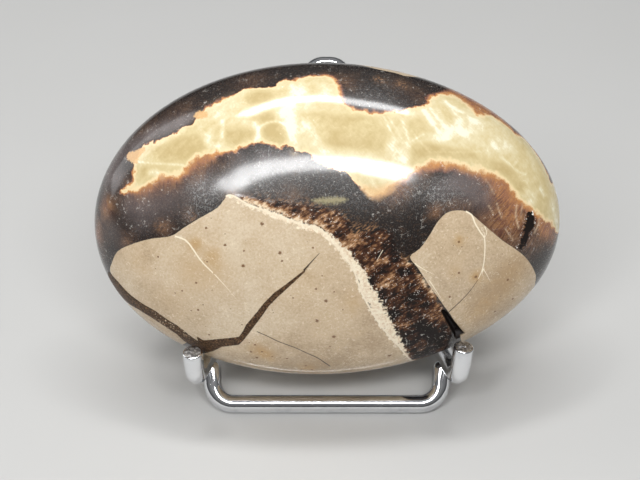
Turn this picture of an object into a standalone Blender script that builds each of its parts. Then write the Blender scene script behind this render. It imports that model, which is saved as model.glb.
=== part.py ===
"""A polished septarian nodule leaning back on a small easel stand of bent chrome wire.

The stone is one solid: a flattened ellipsoid with a slightly egg-shaped outline and one small
open slot in its face. The stand is two bent wires. The back wire starts at one front peg, hooks
under the stone, runs back and down to the table, rises up the stone's back to a narrow round top
and comes down the other side in mirror image. The foot wire is a bar across the table whose two
legs rise to the underside of the back wire's arms.

X runs across, +Y to the back, +Z up. The table is at Z = 0. Sizes are in metres.
"""

import math

import bmesh
import bpy
from mathutils import Matrix, Vector

MM = 0.001

# the stone, in its own plane: width across, height up its face, thickness through it
STONE_WIDTH = 74.0 * MM
STONE_HEIGHT = 50.1 * MM
STONE_THICKNESS = 30.0 * MM
STONE_LEAN = math.radians(27.0)
STONE_CENTRE_HEIGHT = 29.25 * MM
STONE_OFFSET = -0.3 * MM

# how far the outline departs from an ellipse, as shares of its radius
OUTLINE_SKEW = 0.006
OUTLINE_EGG = 0.009
OUTLINE_EGG_TURN = -0.003

# the open slot between the brown vein and the right-hand plate of limestone
SLOT_CENTRE_ACROSS = 19.7 * MM
SLOT_CENTRE_UP = -14.7 * MM
SLOT_TURN = math.radians(-59.0)
SLOT_LENGTH = 6.4 * MM
SLOT_NARROW = 0.7 * MM
SLOT_WIDE = 1.7 * MM
SLOT_DEPTH = 1.3 * MM
SLOT_FLOOR_SHARE = 0.55

# the wires
BACK_WIRE_RADIUS = 1.6 * MM
FOOT_WIRE_RADIUS = 1.5 * MM
WIRE_SIDES = 12
HOOK_BEND = 3.0 * MM
REAR_BEND = 4.0 * MM
TOP_BEND = 2.2 * MM
FOOT_BEND = 3.4 * MM
BEND_STEP = math.radians(12.0)

# the back wire's corners, before they are rounded; Y is from the middle of the stone
PEG_HALF_SPAN = 20.85 * MM
PEG_Y = -15.9 * MM
HOOK_HEIGHT = 10.1 * MM
LEFT_PEG_RISE = 5.5 * MM
RIGHT_PEG_RISE = 6.2 * MM
LEFT_PEG_LEAN = math.radians(0.0)
RIGHT_PEG_LEAN = math.radians(4.0)
LEFT_PEG_SPLAY = math.radians(2.0)
RIGHT_PEG_SPLAY = math.radians(5.0)
REAR_HALF_SPAN = 16.8 * MM
REAR_Y = 10.5 * MM
REAR_HEIGHT = 0.4 * MM
TOP_HALF_SPAN = 2.1 * MM
TOP_Y = 21.9 * MM
TOP_HEIGHT = 44.5 * MM

# the foot wire's corners; the legs splay a little as they rise
FOOT_HALF_SPAN = 18.45 * MM
FOOT_Y = -12.9 * MM
LEG_TOP_HALF_SPAN = 18.75 * MM
LEG_TOP_Y = -9.5 * MM
LEG_TOP_HEIGHT = 5.3 * MM

STONE_FACETS = 5
EDGE_ANGLE = math.radians(35.0)


def clear_scene():
    for item in list(bpy.data.objects):
        bpy.data.objects.remove(item, do_unlink=True)


def finish_material(name, colour, roughness, metallic):
    """A Principled material in one colour."""
    material = bpy.data.materials.new(name)
    material.use_nodes = True
    shader = material.node_tree.nodes["Principled BSDF"]
    shader.inputs["Base Color"].default_value = (*colour, 1.0)
    shader.inputs["Roughness"].default_value = roughness
    shader.inputs["Metallic"].default_value = metallic
    return material


def object_from(name, shape, material):
    """Turns a bmesh into a named object, smooth but for its sharp edges."""
    bmesh.ops.recalc_face_normals(shape, faces=shape.faces)
    mesh = bpy.data.meshes.new(name)
    shape.to_mesh(mesh)
    shape.free()
    mesh.shade_smooth()
    mesh.set_sharp_from_angle(angle=EDGE_ANGLE)
    mesh.materials.append(material)
    item = bpy.data.objects.new(name, mesh)
    bpy.context.scene.collection.objects.link(item)
    return item


def stone_placement():
    """From the stone's own axes (across, up its face, out of its face) to where it leans."""
    turn = Matrix.Rotation(math.pi / 2 - STONE_LEAN, 4, "X")
    return Matrix.Translation((STONE_OFFSET, 0.0, STONE_CENTRE_HEIGHT)) @ turn


def outline_share(turn):
    """The outline's radius at an angle round the face, as a share of the ellipse's."""
    skew = OUTLINE_SKEW * math.sin(2 * turn)
    egg = OUTLINE_EGG * math.cos(3 * turn) + OUTLINE_EGG_TURN * math.sin(3 * turn)
    return 1.0 + skew + egg


def stone_point(unit):
    """The stone's surface point that a point of the unit sphere stands for, in its own axes."""
    share = outline_share(math.atan2(unit.y, unit.x))
    return Vector(
        (
            unit.x * share * STONE_WIDTH / 2,
            unit.y * share * STONE_HEIGHT / 2,
            unit.z * STONE_THICKNESS / 2,
        )
    )


def face_depth(across, up):
    """How far the front of the stone stands out of its middle plane at a place on the face."""
    share = outline_share(math.atan2(up / STONE_HEIGHT, across / STONE_WIDTH))
    radius = math.hypot(2 * across / STONE_WIDTH, 2 * up / STONE_HEIGHT) / share
    return STONE_THICKNESS / 2 * math.sqrt(max(0.0, 1.0 - radius * radius))


def slot_cutter(placement):
    """A wedge that tapers to one end and narrows with depth, set square to the stone's face."""
    half = SLOT_LENGTH / 2
    outline = [
        (-half, 0.0),
        (-0.4 * half, SLOT_NARROW / 2),
        (0.5 * half, SLOT_WIDE / 2),
        (half, 0.3 * SLOT_WIDE),
        (half, -0.3 * SLOT_WIDE),
        (0.5 * half, -SLOT_WIDE / 2),
        (-0.4 * half, -SLOT_NARROW / 2),
    ]
    out = face_depth(SLOT_CENTRE_ACROSS, SLOT_CENTRE_UP)
    surface = Vector((SLOT_CENTRE_ACROSS, SLOT_CENTRE_UP, out))
    scales = Vector((2 / STONE_WIDTH, 2 / STONE_HEIGHT, 2 / STONE_THICKNESS))
    normal = Vector(a * b * b for a, b in zip(surface, scales)).normalized()
    along = Vector((math.cos(SLOT_TURN), math.sin(SLOT_TURN), 0.0))
    along = (along - along.dot(normal) * normal).normalized()
    side = normal.cross(along)

    def ring(shape, share, height):
        points = (surface + share * (x * along + y * side) + height * normal for x, y in outline)
        return [shape.verts.new(point) for point in points]

    cutter = bmesh.new()
    mouth = ring(cutter, 1.0 + (1.0 - SLOT_FLOOR_SHARE), SLOT_DEPTH)
    floor = ring(cutter, SLOT_FLOOR_SHARE, -SLOT_DEPTH)
    cutter.faces.new(mouth)
    cutter.faces.new(reversed(floor))
    count = len(outline)
    for k in range(count):
        cutter.faces.new((mouth[k], floor[k], floor[(k + 1) % count], mouth[(k + 1) % count]))
    bmesh.ops.transform(cutter, matrix=placement, verts=cutter.verts)
    item = object_from("slot_cutter", cutter, finish_material("cutter", (0.5, 0.5, 0.5), 0.5, 0.0))
    item.hide_render = True
    item.display_type = "WIRE"
    return item


def build_stone():
    placement = stone_placement()
    shape = bmesh.new()
    bmesh.ops.create_icosphere(shape, subdivisions=STONE_FACETS, radius=1.0)
    for vertex in shape.verts:
        vertex.co = placement @ stone_point(vertex.co.normalized())
    polished_stone = finish_material("polished_stone", (0.42, 0.34, 0.25), 0.12, 0.0)
    stone = object_from("septarian_nodule", shape, polished_stone)
    slot = stone.modifiers.new("open_slot", "BOOLEAN")
    slot.operation = "DIFFERENCE"
    slot.object = slot_cutter(placement)
    return stone


def rounded_corner(before, corner, after, radius):
    """The points of the arc that rounds a corner between two straight runs."""
    back = (before - corner).normalized()
    on = (after - corner).normalized()
    half_angle = back.angle(on) / 2
    centre = corner + (back + on).normalized() * (radius / math.sin(half_angle))
    start = corner + back * (radius / math.tan(half_angle)) - centre
    end = corner + on * (radius / math.tan(half_angle)) - centre
    sweep = math.pi - 2 * half_angle
    steps = max(2, round(sweep / BEND_STEP))
    points = []
    for k in range(steps + 1):
        share = k / steps
        early = math.sin((1 - share) * sweep) / math.sin(sweep)
        late = math.sin(share * sweep) / math.sin(sweep)
        points.append(centre + early * start + late * end)
    return points


def bent_path(corners, bends):
    """A wire's centreline: straight runs between corners, each inner corner rounded."""
    path = [corners[0]]
    for k, radius in enumerate(bends):
        path += rounded_corner(corners[k], corners[k + 1], corners[k + 2], radius)
    path.append(corners[-1])
    return path


def ring_directions(path, first):
    """The direction of one flat of the wire at each point, carried along without twist.

    It is set at the point numbered first, where that flat faces the table.
    """
    last = len(path) - 1
    tangents = []
    for k in range(last + 1):
        before = path[max(k - 1, 0)]
        after = path[min(k + 1, last)]
        if 0 < k < last:
            tangent = (path[k] - before).normalized() + (after - path[k]).normalized()
        else:
            tangent = after - before
        tangents.append(tangent.normalized())
    down = Vector((0.0, 0.0, -1.0))
    flats = [None] * (last + 1)
    flats[first] = (down - down.dot(tangents[first]) * tangents[first]).normalized()
    for order in (range(first + 1, last + 1), range(first - 1, -1, -1)):
        previous = first
        for k in order:
            turn = tangents[previous].rotation_difference(tangents[k])
            carried = turn @ flats[previous]
            flats[k] = (carried - carried.dot(tangents[k]) * tangents[k]).normalized()
            previous = k
    return tangents, flats


def build_wire(name, path, radius, first, material):
    """A round wire with flat cut ends, swept along a path and stood on the table."""
    tangents, flats = ring_directions(path, first)
    shape = bmesh.new()
    rings = []
    for point, tangent, flat in zip(path, tangents, flats):
        side = tangent.cross(flat)
        ring = []
        for k in range(WIRE_SIDES):
            angle = (k + 0.5) * 2 * math.pi / WIRE_SIDES
            offset = math.cos(angle) * flat + math.sin(angle) * side
            ring.append(shape.verts.new(point + radius * offset))
        rings.append(ring)
    for ring, following in zip(rings, rings[1:]):
        for k in range(WIRE_SIDES):
            after = (k + 1) % WIRE_SIDES
            shape.faces.new((ring[k], ring[after], following[after], following[k]))
    shape.faces.new(reversed(rings[0]))
    shape.faces.new(rings[-1])
    lowest = min(vertex.co.z for vertex in shape.verts)
    bmesh.ops.translate(shape, vec=(0.0, 0.0, -lowest), verts=shape.verts)
    return object_from(name, shape, material)


def peg_tip(side, rise, lean, splay):
    """The cut end of a front peg above its hook."""
    hook = Vector((side * PEG_HALF_SPAN, PEG_Y, HOOK_HEIGHT))
    run = rise / math.cos(lean)
    return hook + Vector((side * run * math.sin(splay), run * math.sin(lean), rise))


def build_back_wire(material):
    def corner(side, x, y, z):
        return Vector((side * x, y, z))

    corners = [
        peg_tip(-1, LEFT_PEG_RISE, LEFT_PEG_LEAN, LEFT_PEG_SPLAY),
        corner(-1, PEG_HALF_SPAN, PEG_Y, HOOK_HEIGHT),
        corner(-1, REAR_HALF_SPAN, REAR_Y, REAR_HEIGHT),
        corner(-1, TOP_HALF_SPAN, TOP_Y, TOP_HEIGHT),
        corner(1, TOP_HALF_SPAN, TOP_Y, TOP_HEIGHT),
        corner(1, REAR_HALF_SPAN, REAR_Y, REAR_HEIGHT),
        corner(1, PEG_HALF_SPAN, PEG_Y, HOOK_HEIGHT),
        peg_tip(1, RIGHT_PEG_RISE, RIGHT_PEG_LEAN, RIGHT_PEG_SPLAY),
    ]
    bends = [HOOK_BEND, REAR_BEND, TOP_BEND, TOP_BEND, REAR_BEND, HOOK_BEND]
    path = bent_path(corners, bends)
    top = max(range(len(path)), key=lambda k: path[k].z)
    return build_wire("back_wire", path, BACK_WIRE_RADIUS, top, material)


def build_foot_wire(material):
    leg_top = Vector((LEG_TOP_HALF_SPAN, LEG_TOP_Y, LEG_TOP_HEIGHT))
    bar_end = Vector((FOOT_HALF_SPAN, FOOT_Y, FOOT_WIRE_RADIUS))
    mirror = Vector((-1.0, 1.0, 1.0))
    corners = [leg_top * mirror, bar_end * mirror, bar_end, leg_top]
    path = bent_path(corners, [FOOT_BEND, FOOT_BEND])
    return build_wire("foot_wire", path, FOOT_WIRE_RADIUS, len(path) // 2, material)


def centre_over_origin(items):
    """Moves the meshes together so that their common box is centred over the origin."""
    bpy.context.view_layer.update()
    corners = [item.matrix_world @ vertex.co for item in items for vertex in item.data.vertices]
    middle_x = (min(c.x for c in corners) + max(c.x for c in corners)) / 2
    middle_y = (min(c.y for c in corners) + max(c.y for c in corners)) / 2
    shift = Matrix.Translation((-middle_x, -middle_y, 0.0))
    for item in bpy.data.objects:
        item.data.transform(shift)


def main():
    clear_scene()
    stone = build_stone()
    chrome = finish_material("chrome_wire", (0.78, 0.79, 0.81), 0.08, 1.0)
    back_wire = build_back_wire(chrome)
    foot_wire = build_foot_wire(chrome)
    centre_over_origin([stone, back_wire, foot_wire])


main()
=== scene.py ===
"""The looks of a polished septarian nodule on its chrome wire stand, set up as a Blender add-on.

The stone is a smooth oval of many small faces. Each vertex knows how far it lies from the edges of
the markings, and the stone's material turns those distances into limestone, calcite and aragonite.
"""

import itertools
import math

import bmesh
import bpy
import numpy as np
from mathutils import Matrix, Vector


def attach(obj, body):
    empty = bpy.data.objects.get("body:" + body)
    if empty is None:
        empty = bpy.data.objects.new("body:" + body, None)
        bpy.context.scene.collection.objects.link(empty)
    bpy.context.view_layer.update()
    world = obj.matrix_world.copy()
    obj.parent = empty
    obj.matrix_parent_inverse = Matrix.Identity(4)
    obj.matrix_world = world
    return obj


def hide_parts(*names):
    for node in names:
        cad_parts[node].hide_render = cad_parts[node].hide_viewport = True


bl_info = {
    "name": "Septarian nodule on a wire stand",
    "version": (1, 0, 0),
    "blender": (4, 5, 0),
    "location": "3D View > Sidebar > Septarian",
    "description": "Makes the polished stone, its chrome stand and a plain studio",
    "category": "Object",
}

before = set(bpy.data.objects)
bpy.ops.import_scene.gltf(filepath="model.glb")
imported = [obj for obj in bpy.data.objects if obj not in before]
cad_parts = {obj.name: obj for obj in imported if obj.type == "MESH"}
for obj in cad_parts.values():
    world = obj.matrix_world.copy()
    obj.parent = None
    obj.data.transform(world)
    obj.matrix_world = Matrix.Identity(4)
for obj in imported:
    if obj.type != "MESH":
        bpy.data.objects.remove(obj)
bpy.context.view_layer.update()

MM = 0.001
BODY = "root"

# the picture that the markings were read in, and the camera that stood over the stone: its distance
# and sensor in millimetres, its clipping in metres
PICTURE_WIDTH = 640
PICTURE_HEIGHT = 480
FOCAL_PIXELS = 1540.0
CAMERA_ELEVATION = math.radians(38.0)
CAMERA_DISTANCE = 245.0
STONE_PIXEL = (325.0, 220.9)
SENSOR_WIDTH = 36.0
CLIP_START = 0.01

# the stone's middle in the frame, in millimetres, how its outline departs from an ellipse, and how far
# its skin lies inside the solid
STONE_MIDDLE = np.array([-0.333, -3.009, 29.25])
OUTLINE_SKEW = 0.006
OUTLINE_EGG = 0.009
OUTLINE_EGG_TURN = -0.003
SKIN_DEPTH = 0.06

# the open slot at the lower right, in millimetres in the stone's own plane
SLOT_CENTRE = (19.7, -14.7)
SLOT_TURN = math.radians(-59.0)
SLOT_NARROW = 0.7
SLOT_WIDE = 1.7

# the stand's middle in the frame, in millimetres, and from there the corners of the wires' middle
# lines before they are rounded: across, back, and up from the table
STAND_MIDDLE = (-0.033, -3.009, 0.0)
HOOK = (20.85, -15.9, 10.1)
REAR = (16.8, 10.5, 0.4)
TOP = (2.1, 21.9, 44.5)
FOOT = (18.45, -12.9, 1.5)
LEG_TOP = (18.75, -9.5, 5.3)

# the rings of a cut face, as shares of its flat part, the rings of its rounded rim, and the fewest
# steps round a bend
CUT_SHARES = (0.02, 0.38, 0.76, 0.97)
RIM_RINGS = 5
LEAST_STEPS = 4

# the seed of the saw marks, and how much of their height is sunk into the cut
SAW_SEED = 7
SAW_SINK = 0.6

# how round the legs' welded ends are, as a share of the wire's radius
WELD_ROUNDING = 0.9

# how far each front peg leans back and aside
LEFT_PEG_LEAN = (0.0, math.radians(2.0))
RIGHT_PEG_LEAN = (math.radians(4.0), math.radians(5.0))

# the floor's half width in metres, the size of its mottle in millimetres, its darker tone as a share
# of its colour, and its roughness
FLOOR_REACH = 3.0
FLOOR_MOTTLE = 30.0
FLOOR_SHADE = 0.97
FLOOR_ROUGHNESS = 0.7

# how high the surroundings reach their full brightness, as the sine of the angle above eye level
ZENITH_PLACE = 0.7

# the lights, in metres: directions from the stone towards each strip's bends with the strip's width,
# and towards the side light's two ends
STRIP_DISTANCE = 0.5
STRIPS = {
    "over_strip": (
        [
            (-0.372, 0.01, 0.93), (-0.228, 0.135, 0.964), (-0.096, 0.185, 0.974), (0.035, 0.175, 0.985),
            (0.15, 0.14, 0.98), (0.26, 0.115, 0.96), (0.38, 0.105, 0.92),
        ],
        0.055,
    ),
    "front_strip": (
        [
            (-0.435, -0.69, 0.58), (-0.395, -0.64, 0.66), (-0.296, -0.614, 0.732), (-0.163, -0.607, 0.776),
            (-0.017, -0.602, 0.80), (0.1, -0.606, 0.787), (0.221, -0.611, 0.759), (0.38, -0.62, 0.69),
        ],
        0.07,
    ),
}
SIDE_LIGHT = [(-0.96, 0.28, 0.05), (-0.62, 0.24, 0.75)]
SIDE_DISTANCE = 0.6
SIDE_WIDTH = 0.22

# outlines in the picture's pixels; those named behind or back are on the far side of the stone, in
# millimetres from its middle across and up its own plane
LEFT_PLATE = [
    (110, 272), (112, 262), (118, 251), (132.6, 244), (150, 239), (171, 236), (182, 229), (198, 219),
    (217, 208), (229, 196), (247, 205), (271, 214), (303, 225.5), (322, 232), (336, 246.5), (352, 269),
    (360, 291), (374, 317), (389.5, 338), (403, 353), (411, 363),
]
LEFT_PLATE_BEHIND = [(13, -21), (14, -14), (9, -8.5), (-3, -6.5), (-13, -8.5), (-18, -12.5), (-17.5, -18)]
LEFT_PLATE_FOOT = [
    (210, 352), (203, 345), (190, 336), (179, 327), (166, 319), (155, 311), (141, 303), (128, 293),
    (118, 282),
]
LOWER_SLIVER = [(112, 290), (124, 300), (138, 309.5), (151, 317.5), (163, 325.5), (176, 334), (186, 343)]
LOWER_SLIVER_BEHIND = [(-21, -18.5), (-24, -13), (-28, -7), (-33.5, -3.5), (-35.2, -7)]
RIGHT_PLATE = [
    (410, 257), (419.6, 249), (430.5, 234), (437, 223), (446.6, 213), (456, 210.5), (465, 211), (474, 216),
    (483, 224), (502, 240), (522, 254), (530, 263), (536, 275), (538, 288),
]
RIGHT_PLATE_BEHIND = [(31, -9), (27, -4.5), (20, -5.5), (17.5, -11), (18, -18)]
RIGHT_PLATE_FOOT = [(463, 342), (460, 333), (449, 312.5), (442, 303), (429, 285), (418, 268)]
TOP_PLATE = [(364, 65.5), (380, 69.5), (395, 72.5), (408, 76)]
TOP_PLATE_BEHIND = [
    (17, 22.0), (24, 16), (27, 9.5), (20, 4.5), (8, 3), (-6, 5.5), (-17, 8.5), (-25, 9.5), (-24, 15),
    (-14, 20.5), (-3, 23.8),
]
CALCITE_TOP = [
    (134.4, 163.5), (142, 149), (147, 144), (161.6, 141), (175, 134), (187, 127), (195, 124.5), (197, 120),
    (206, 109), (223, 100.5), (233, 97), (240.5, 91), (254, 88), (275, 87.5), (281, 81), (296, 80),
    (307, 77), (326, 77), (334, 81), (338, 97), (350, 109), (372, 114), (395, 113), (412, 109), (427, 105),
    (430, 98), (439, 95.5), (451, 95.5), (459.5, 100), (468.5, 107), (474.6, 113.5), (480, 116),
    (488, 115), (494, 117.5), (501.4, 122.5), (510.4, 129), (516, 135), (525, 139.5), (533, 149),
    (540, 160), (547, 173), (553, 185),
]
CALCITE_BEHIND = [(35.2, 4.5), (34.2, 1.5), (35.2, -2.5)]
CALCITE_BACK = [
    (35.5, 9), (33, 6), (27, 3.2), (18, 0.2), (8, -1.2), (-4, 0.4), (-15, 3.2), (-25, 4.6), (-31.5, 2.2),
    (-26, -1.6), (-16, -3.6), (-5, -4.2), (7, -5.6), (18, -4.6), (27, -2.6), (35.5, -3),
]
CALCITE_FOOT = [
    (559, 232), (551, 222), (541, 214), (529, 205), (520, 197), (505, 179), (491, 171), (477, 167.5),
    (460, 163), (447, 159.5), (433, 159.5), (424, 162), (417, 167), (404, 175), (389.5, 183), (381, 190),
    (373, 194), (362, 186), (345, 172), (328, 165), (315, 160), (311, 156), (308, 150), (295, 150),
    (289, 144), (279, 147), (263, 141), (246, 144), (233, 150), (219, 150), (206, 153), (196, 155),
    (191, 160), (184.5, 167), (177.6, 173.5), (170, 174), (158.5, 174), (151.6, 179), (148.6, 183),
    (137, 187), (124, 192), (121, 192.5), (127, 188.5), (133.5, 184), (134.5, 174),
]
CREAM_RIM = [
    (229, 195.5), (247, 203.5), (271, 211), (303, 222), (324, 229), (340, 243), (353, 255), (366, 275),
    (375, 290), (387, 313), (397, 333), (406, 350), (411, 361), (402, 352), (389.5, 338), (374, 317),
    (360, 291), (352, 271), (336, 249), (322, 236), (303, 229), (271, 216.5), (247, 206.5),
]
GOLDEN_VEIN = [
    (236, 196), (262, 200), (285, 203), (308, 205), (330, 209), (347, 219), (355, 233), (368, 231),
    (382, 228), (392, 236), (396, 252), (409, 262), (418, 272), (429, 287), (441, 305), (446, 318),
    (451, 330), (450, 341), (437, 354), (424, 360), (411, 364), (403, 352), (389.5, 336), (374, 312),
    (360, 286), (352, 266), (336, 244), (322, 229), (303, 222), (271, 211), (247, 203),
]
BROWN_CRACK = [
    (196, 336), (203, 340.5), (220, 339), (239, 337), (243, 331), (246, 325), (257, 312), (264, 303),
    (274, 293), (293, 279), (303, 271), (320, 252.6), (304, 273), (295, 281.5), (279, 296), (269, 306),
    (263, 315), (253, 328), (244, 340), (239, 345), (222, 347), (214, 351), (206, 353),
]
LOWER_VEIN = [(108, 271), *LEFT_PLATE_FOOT[::-1], (200, 350), *LOWER_SLIVER[::-1], (104, 280)]

# fine lines on the face: their points in pixels and their widths in millimetres at each end
PALE_LINES = [
    ([(174, 236), (185, 240), (192, 248), (201, 261), (214, 274)], 0.26, 0.18),
    ([(214, 274), (226, 287), (236, 299)], 0.14, 0.0),
    (
        [(465, 211), (472, 215), (475, 223), (481, 233), (484.5, 238), (485, 252), (483, 268), (478, 280)],
        0.24,
        0.12,
    ),
    ([(483, 268), (491, 283)], 0.12, 0.0),
    ([(484.5, 226), (487, 233), (484, 239)], 0.16, 0.05),
    ([(414, 263), (423, 269), (435, 275)], 0.16, 0.0),
    ([(429, 280), (437, 292), (444, 303)], 0.14, 0.0),
    ([(383, 250), (376, 262)], 0.1, 0.0),
]
DARK_LINES = [
    ([(255, 331), (266.5, 336), (279, 342), (294, 347.5), (306, 353), (319, 359), (331, 367)], 0.12, 0.16),
    ([(478, 280), (469.5, 292), (460, 302), (448, 313)], 0.06, 0.14),
    ([(303, 271), (320, 252.6)], 0.2, 0.05),
]

# pale veils in the calcite and silky streaks in the crust, with a few short bright ones that are painted
# glints and a painted reflection along the calcite's right outline: points in pixels, half-width in
# millimetres, strength
VEILS_AND_GLINTS = [
    ([(287, 104), (288, 116), (289, 127)], 1.3, 1.0),
    ([(290, 126), (292, 138), (295, 151)], 0.65, 1.0),
    ([(306, 122), (314, 136), (322, 150)], 1.0, 0.75),
    ([(205, 118), (216, 108), (232, 101)], 1.3, 0.45),
    ([(214, 118), (228, 112), (238, 106)], 0.7, 0.45),
    ([(290, 86), (298, 92), (304, 84)], 1.0, 0.7),
    ([(322, 84), (328, 90), (325, 97)], 0.9, 0.5),
    ([(222, 121), (222.5, 128), (222, 137)], 0.3, 1.0),
    ([(226, 124), (240, 120), (252, 126)], 0.6, 0.4),
    ([(255, 123), (258, 131), (256, 140)], 0.45, 0.9),
    ([(262, 142), (258, 132), (262, 125), (274, 121), (286, 125)], 0.22, 0.9),
    ([(207, 140), (213, 147), (219, 145)], 0.45, 0.8),
    ([(200, 127), (205, 134), (212, 138)], 0.4, 0.4),
    ([(137, 161.5), (150, 163), (168, 164), (184, 165)], 0.13, 0.9),
    ([(150, 172), (156, 171), (162, 176)], 0.55, 0.8),
    ([(154, 150), (157, 156), (158, 162)], 0.14, 0.5),
    ([(384, 116), (390, 130), (395, 140)], 0.14, 0.8),
    ([(389, 117), (396, 129), (403, 143)], 0.2, 0.7),
    ([(401, 117), (405, 128), (409, 141)], 0.18, 0.9),
    ([(393, 147), (397, 154), (403, 159)], 1.1, 1.0),
    ([(406, 143), (409, 146)], 0.35, 0.9),
    ([(410, 143), (418, 138), (424, 134)], 0.16, 0.6),
    ([(414, 134), (420, 141), (427, 149)], 0.14, 0.5),
    ([(424, 110), (431, 121), (438, 131)], 0.42, 1.0),
    ([(430, 108), (438, 118), (446, 128)], 0.2, 0.6),
    ([(438, 138), (445, 137), (450, 130)], 0.75, 1.0),
    ([(446, 101), (454, 108), (462, 112)], 0.35, 0.8),
    ([(455, 112), (460, 124), (464, 133)], 1.1, 0.65),
    ([(470, 118), (476, 122)], 0.5, 0.7),
    ([(460, 130), (464, 133)], 0.5, 0.8),
    ([(492, 142), (496, 147)], 0.55, 1.0),
    ([(503, 158), (512, 166), (519, 172), (526, 174)], 0.22, 0.8),
    ([(519, 158), (514, 165)], 0.2, 0.6),
    ([(497, 122), (505, 134), (508, 145)], 1.0, 0.35),
    ([(528, 150), (533, 163), (536, 176)], 0.7, 0.4),
    ([(529, 192), (534, 197), (530, 203)], 0.7, 0.8),
    # a painted glint
    ([(541, 189), (544, 194)], 0.5, 1.0),
    # a painted reflection along the calcite's right outline
    ([(553, 206), (556, 218), (558, 232)], 0.7, 0.8),
    ([(322, 150), (350, 153), (380, 158)], 0.5, 0.35),
    ([(340, 160), (362, 165), (380, 172)], 1.2, 0.35),
    ([(371, 181), (376, 188)], 0.3, 0.6),
    ([(430, 152), (470, 152), (488, 150)], 0.12, 0.35),
    ([(497, 203), (499, 210), (502, 218)], 0.1, 1.0),
    ([(489, 206), (493, 213)], 0.1, 0.8),
    ([(517, 205), (516, 216), (519, 228)], 0.16, 1.0),
    ([(523, 203), (522, 211), (521, 218)], 0.13, 0.9),
    ([(505, 228), (509, 234), (513, 240)], 0.1, 0.9),
    ([(540, 214), (539, 222), (535, 233)], 0.18, 1.0),
    ([(486, 180), (491, 187), (494, 194)], 0.1, 0.7),
]

# clear honey cells in the calcite, in pixels
CLEAR_CELLS = [
    [(225, 130), (238, 129.5), (250, 128.5), (254, 134), (252, 141), (243, 140), (236, 146), (227, 145)],
    [
        (262, 131), (266, 124), (274, 121.5), (283, 123), (288, 130), (289, 139), (286, 143), (275, 145),
        (267, 142),
    ],
    [(246, 113), (258, 110), (272, 112), (276, 120), (266, 123), (256, 124)],
    [(243, 97), (250, 92.5), (262, 91), (273, 92), (275, 97), (266, 101), (256, 103), (247, 106)],
    [
        (150, 150), (165, 143), (182, 136), (197, 135), (204, 142), (205, 150), (194, 154), (185, 161),
        (160, 162),
    ],
    [(140, 167), (150, 166), (172, 167), (180, 167), (172, 172), (160, 172), (148, 169), (142, 174)],
    [
        (300, 113), (316, 112), (345, 114), (375, 119), (385, 130), (388, 143), (380, 152), (350, 148),
        (326, 144), (312, 128),
    ],
    [(410, 121), (420, 118), (432, 131), (424, 133), (412, 138), (407, 128)],
    [
        (412, 146), (425, 142), (446, 146), (470, 150), (480, 160), (460, 159), (440, 155), (424, 158),
        (412, 166),
    ],
    [(490, 160), (505, 164), (520, 178), (530, 188), (520, 194), (508, 178), (494, 170)],
    [(436, 104), (446, 106), (455, 118), (450, 124)],
]

# orange crusts, the open cavity at the right end, which is painted near-black as the shade inside it, and a
# clear lens in the dark crust, in pixels
ORANGE_CRUSTS = [
    [
        (365, 187), (370, 193), (377, 197), (386, 195), (396, 188), (402, 180), (393, 184), (384, 188),
        (374, 188),
    ],
    [(136, 164), (129, 161), (126, 155), (130, 151), (137, 150), (146, 146), (143, 152), (139, 158)],
    [(199, 110), (206, 111.5), (206.5, 117), (200, 119), (193, 116)],
]
CAVITY = [
    (528, 211), (534, 213), (535, 222), (531, 232), (528, 241), (522, 250), (518, 247), (522, 236),
    (525, 224),
]
LENS = [
    (310, 200.5), (318, 197.5), (330, 196.2), (342, 196.5), (349, 200), (341, 203.5), (328, 205),
    (317, 203.5),
]

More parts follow.
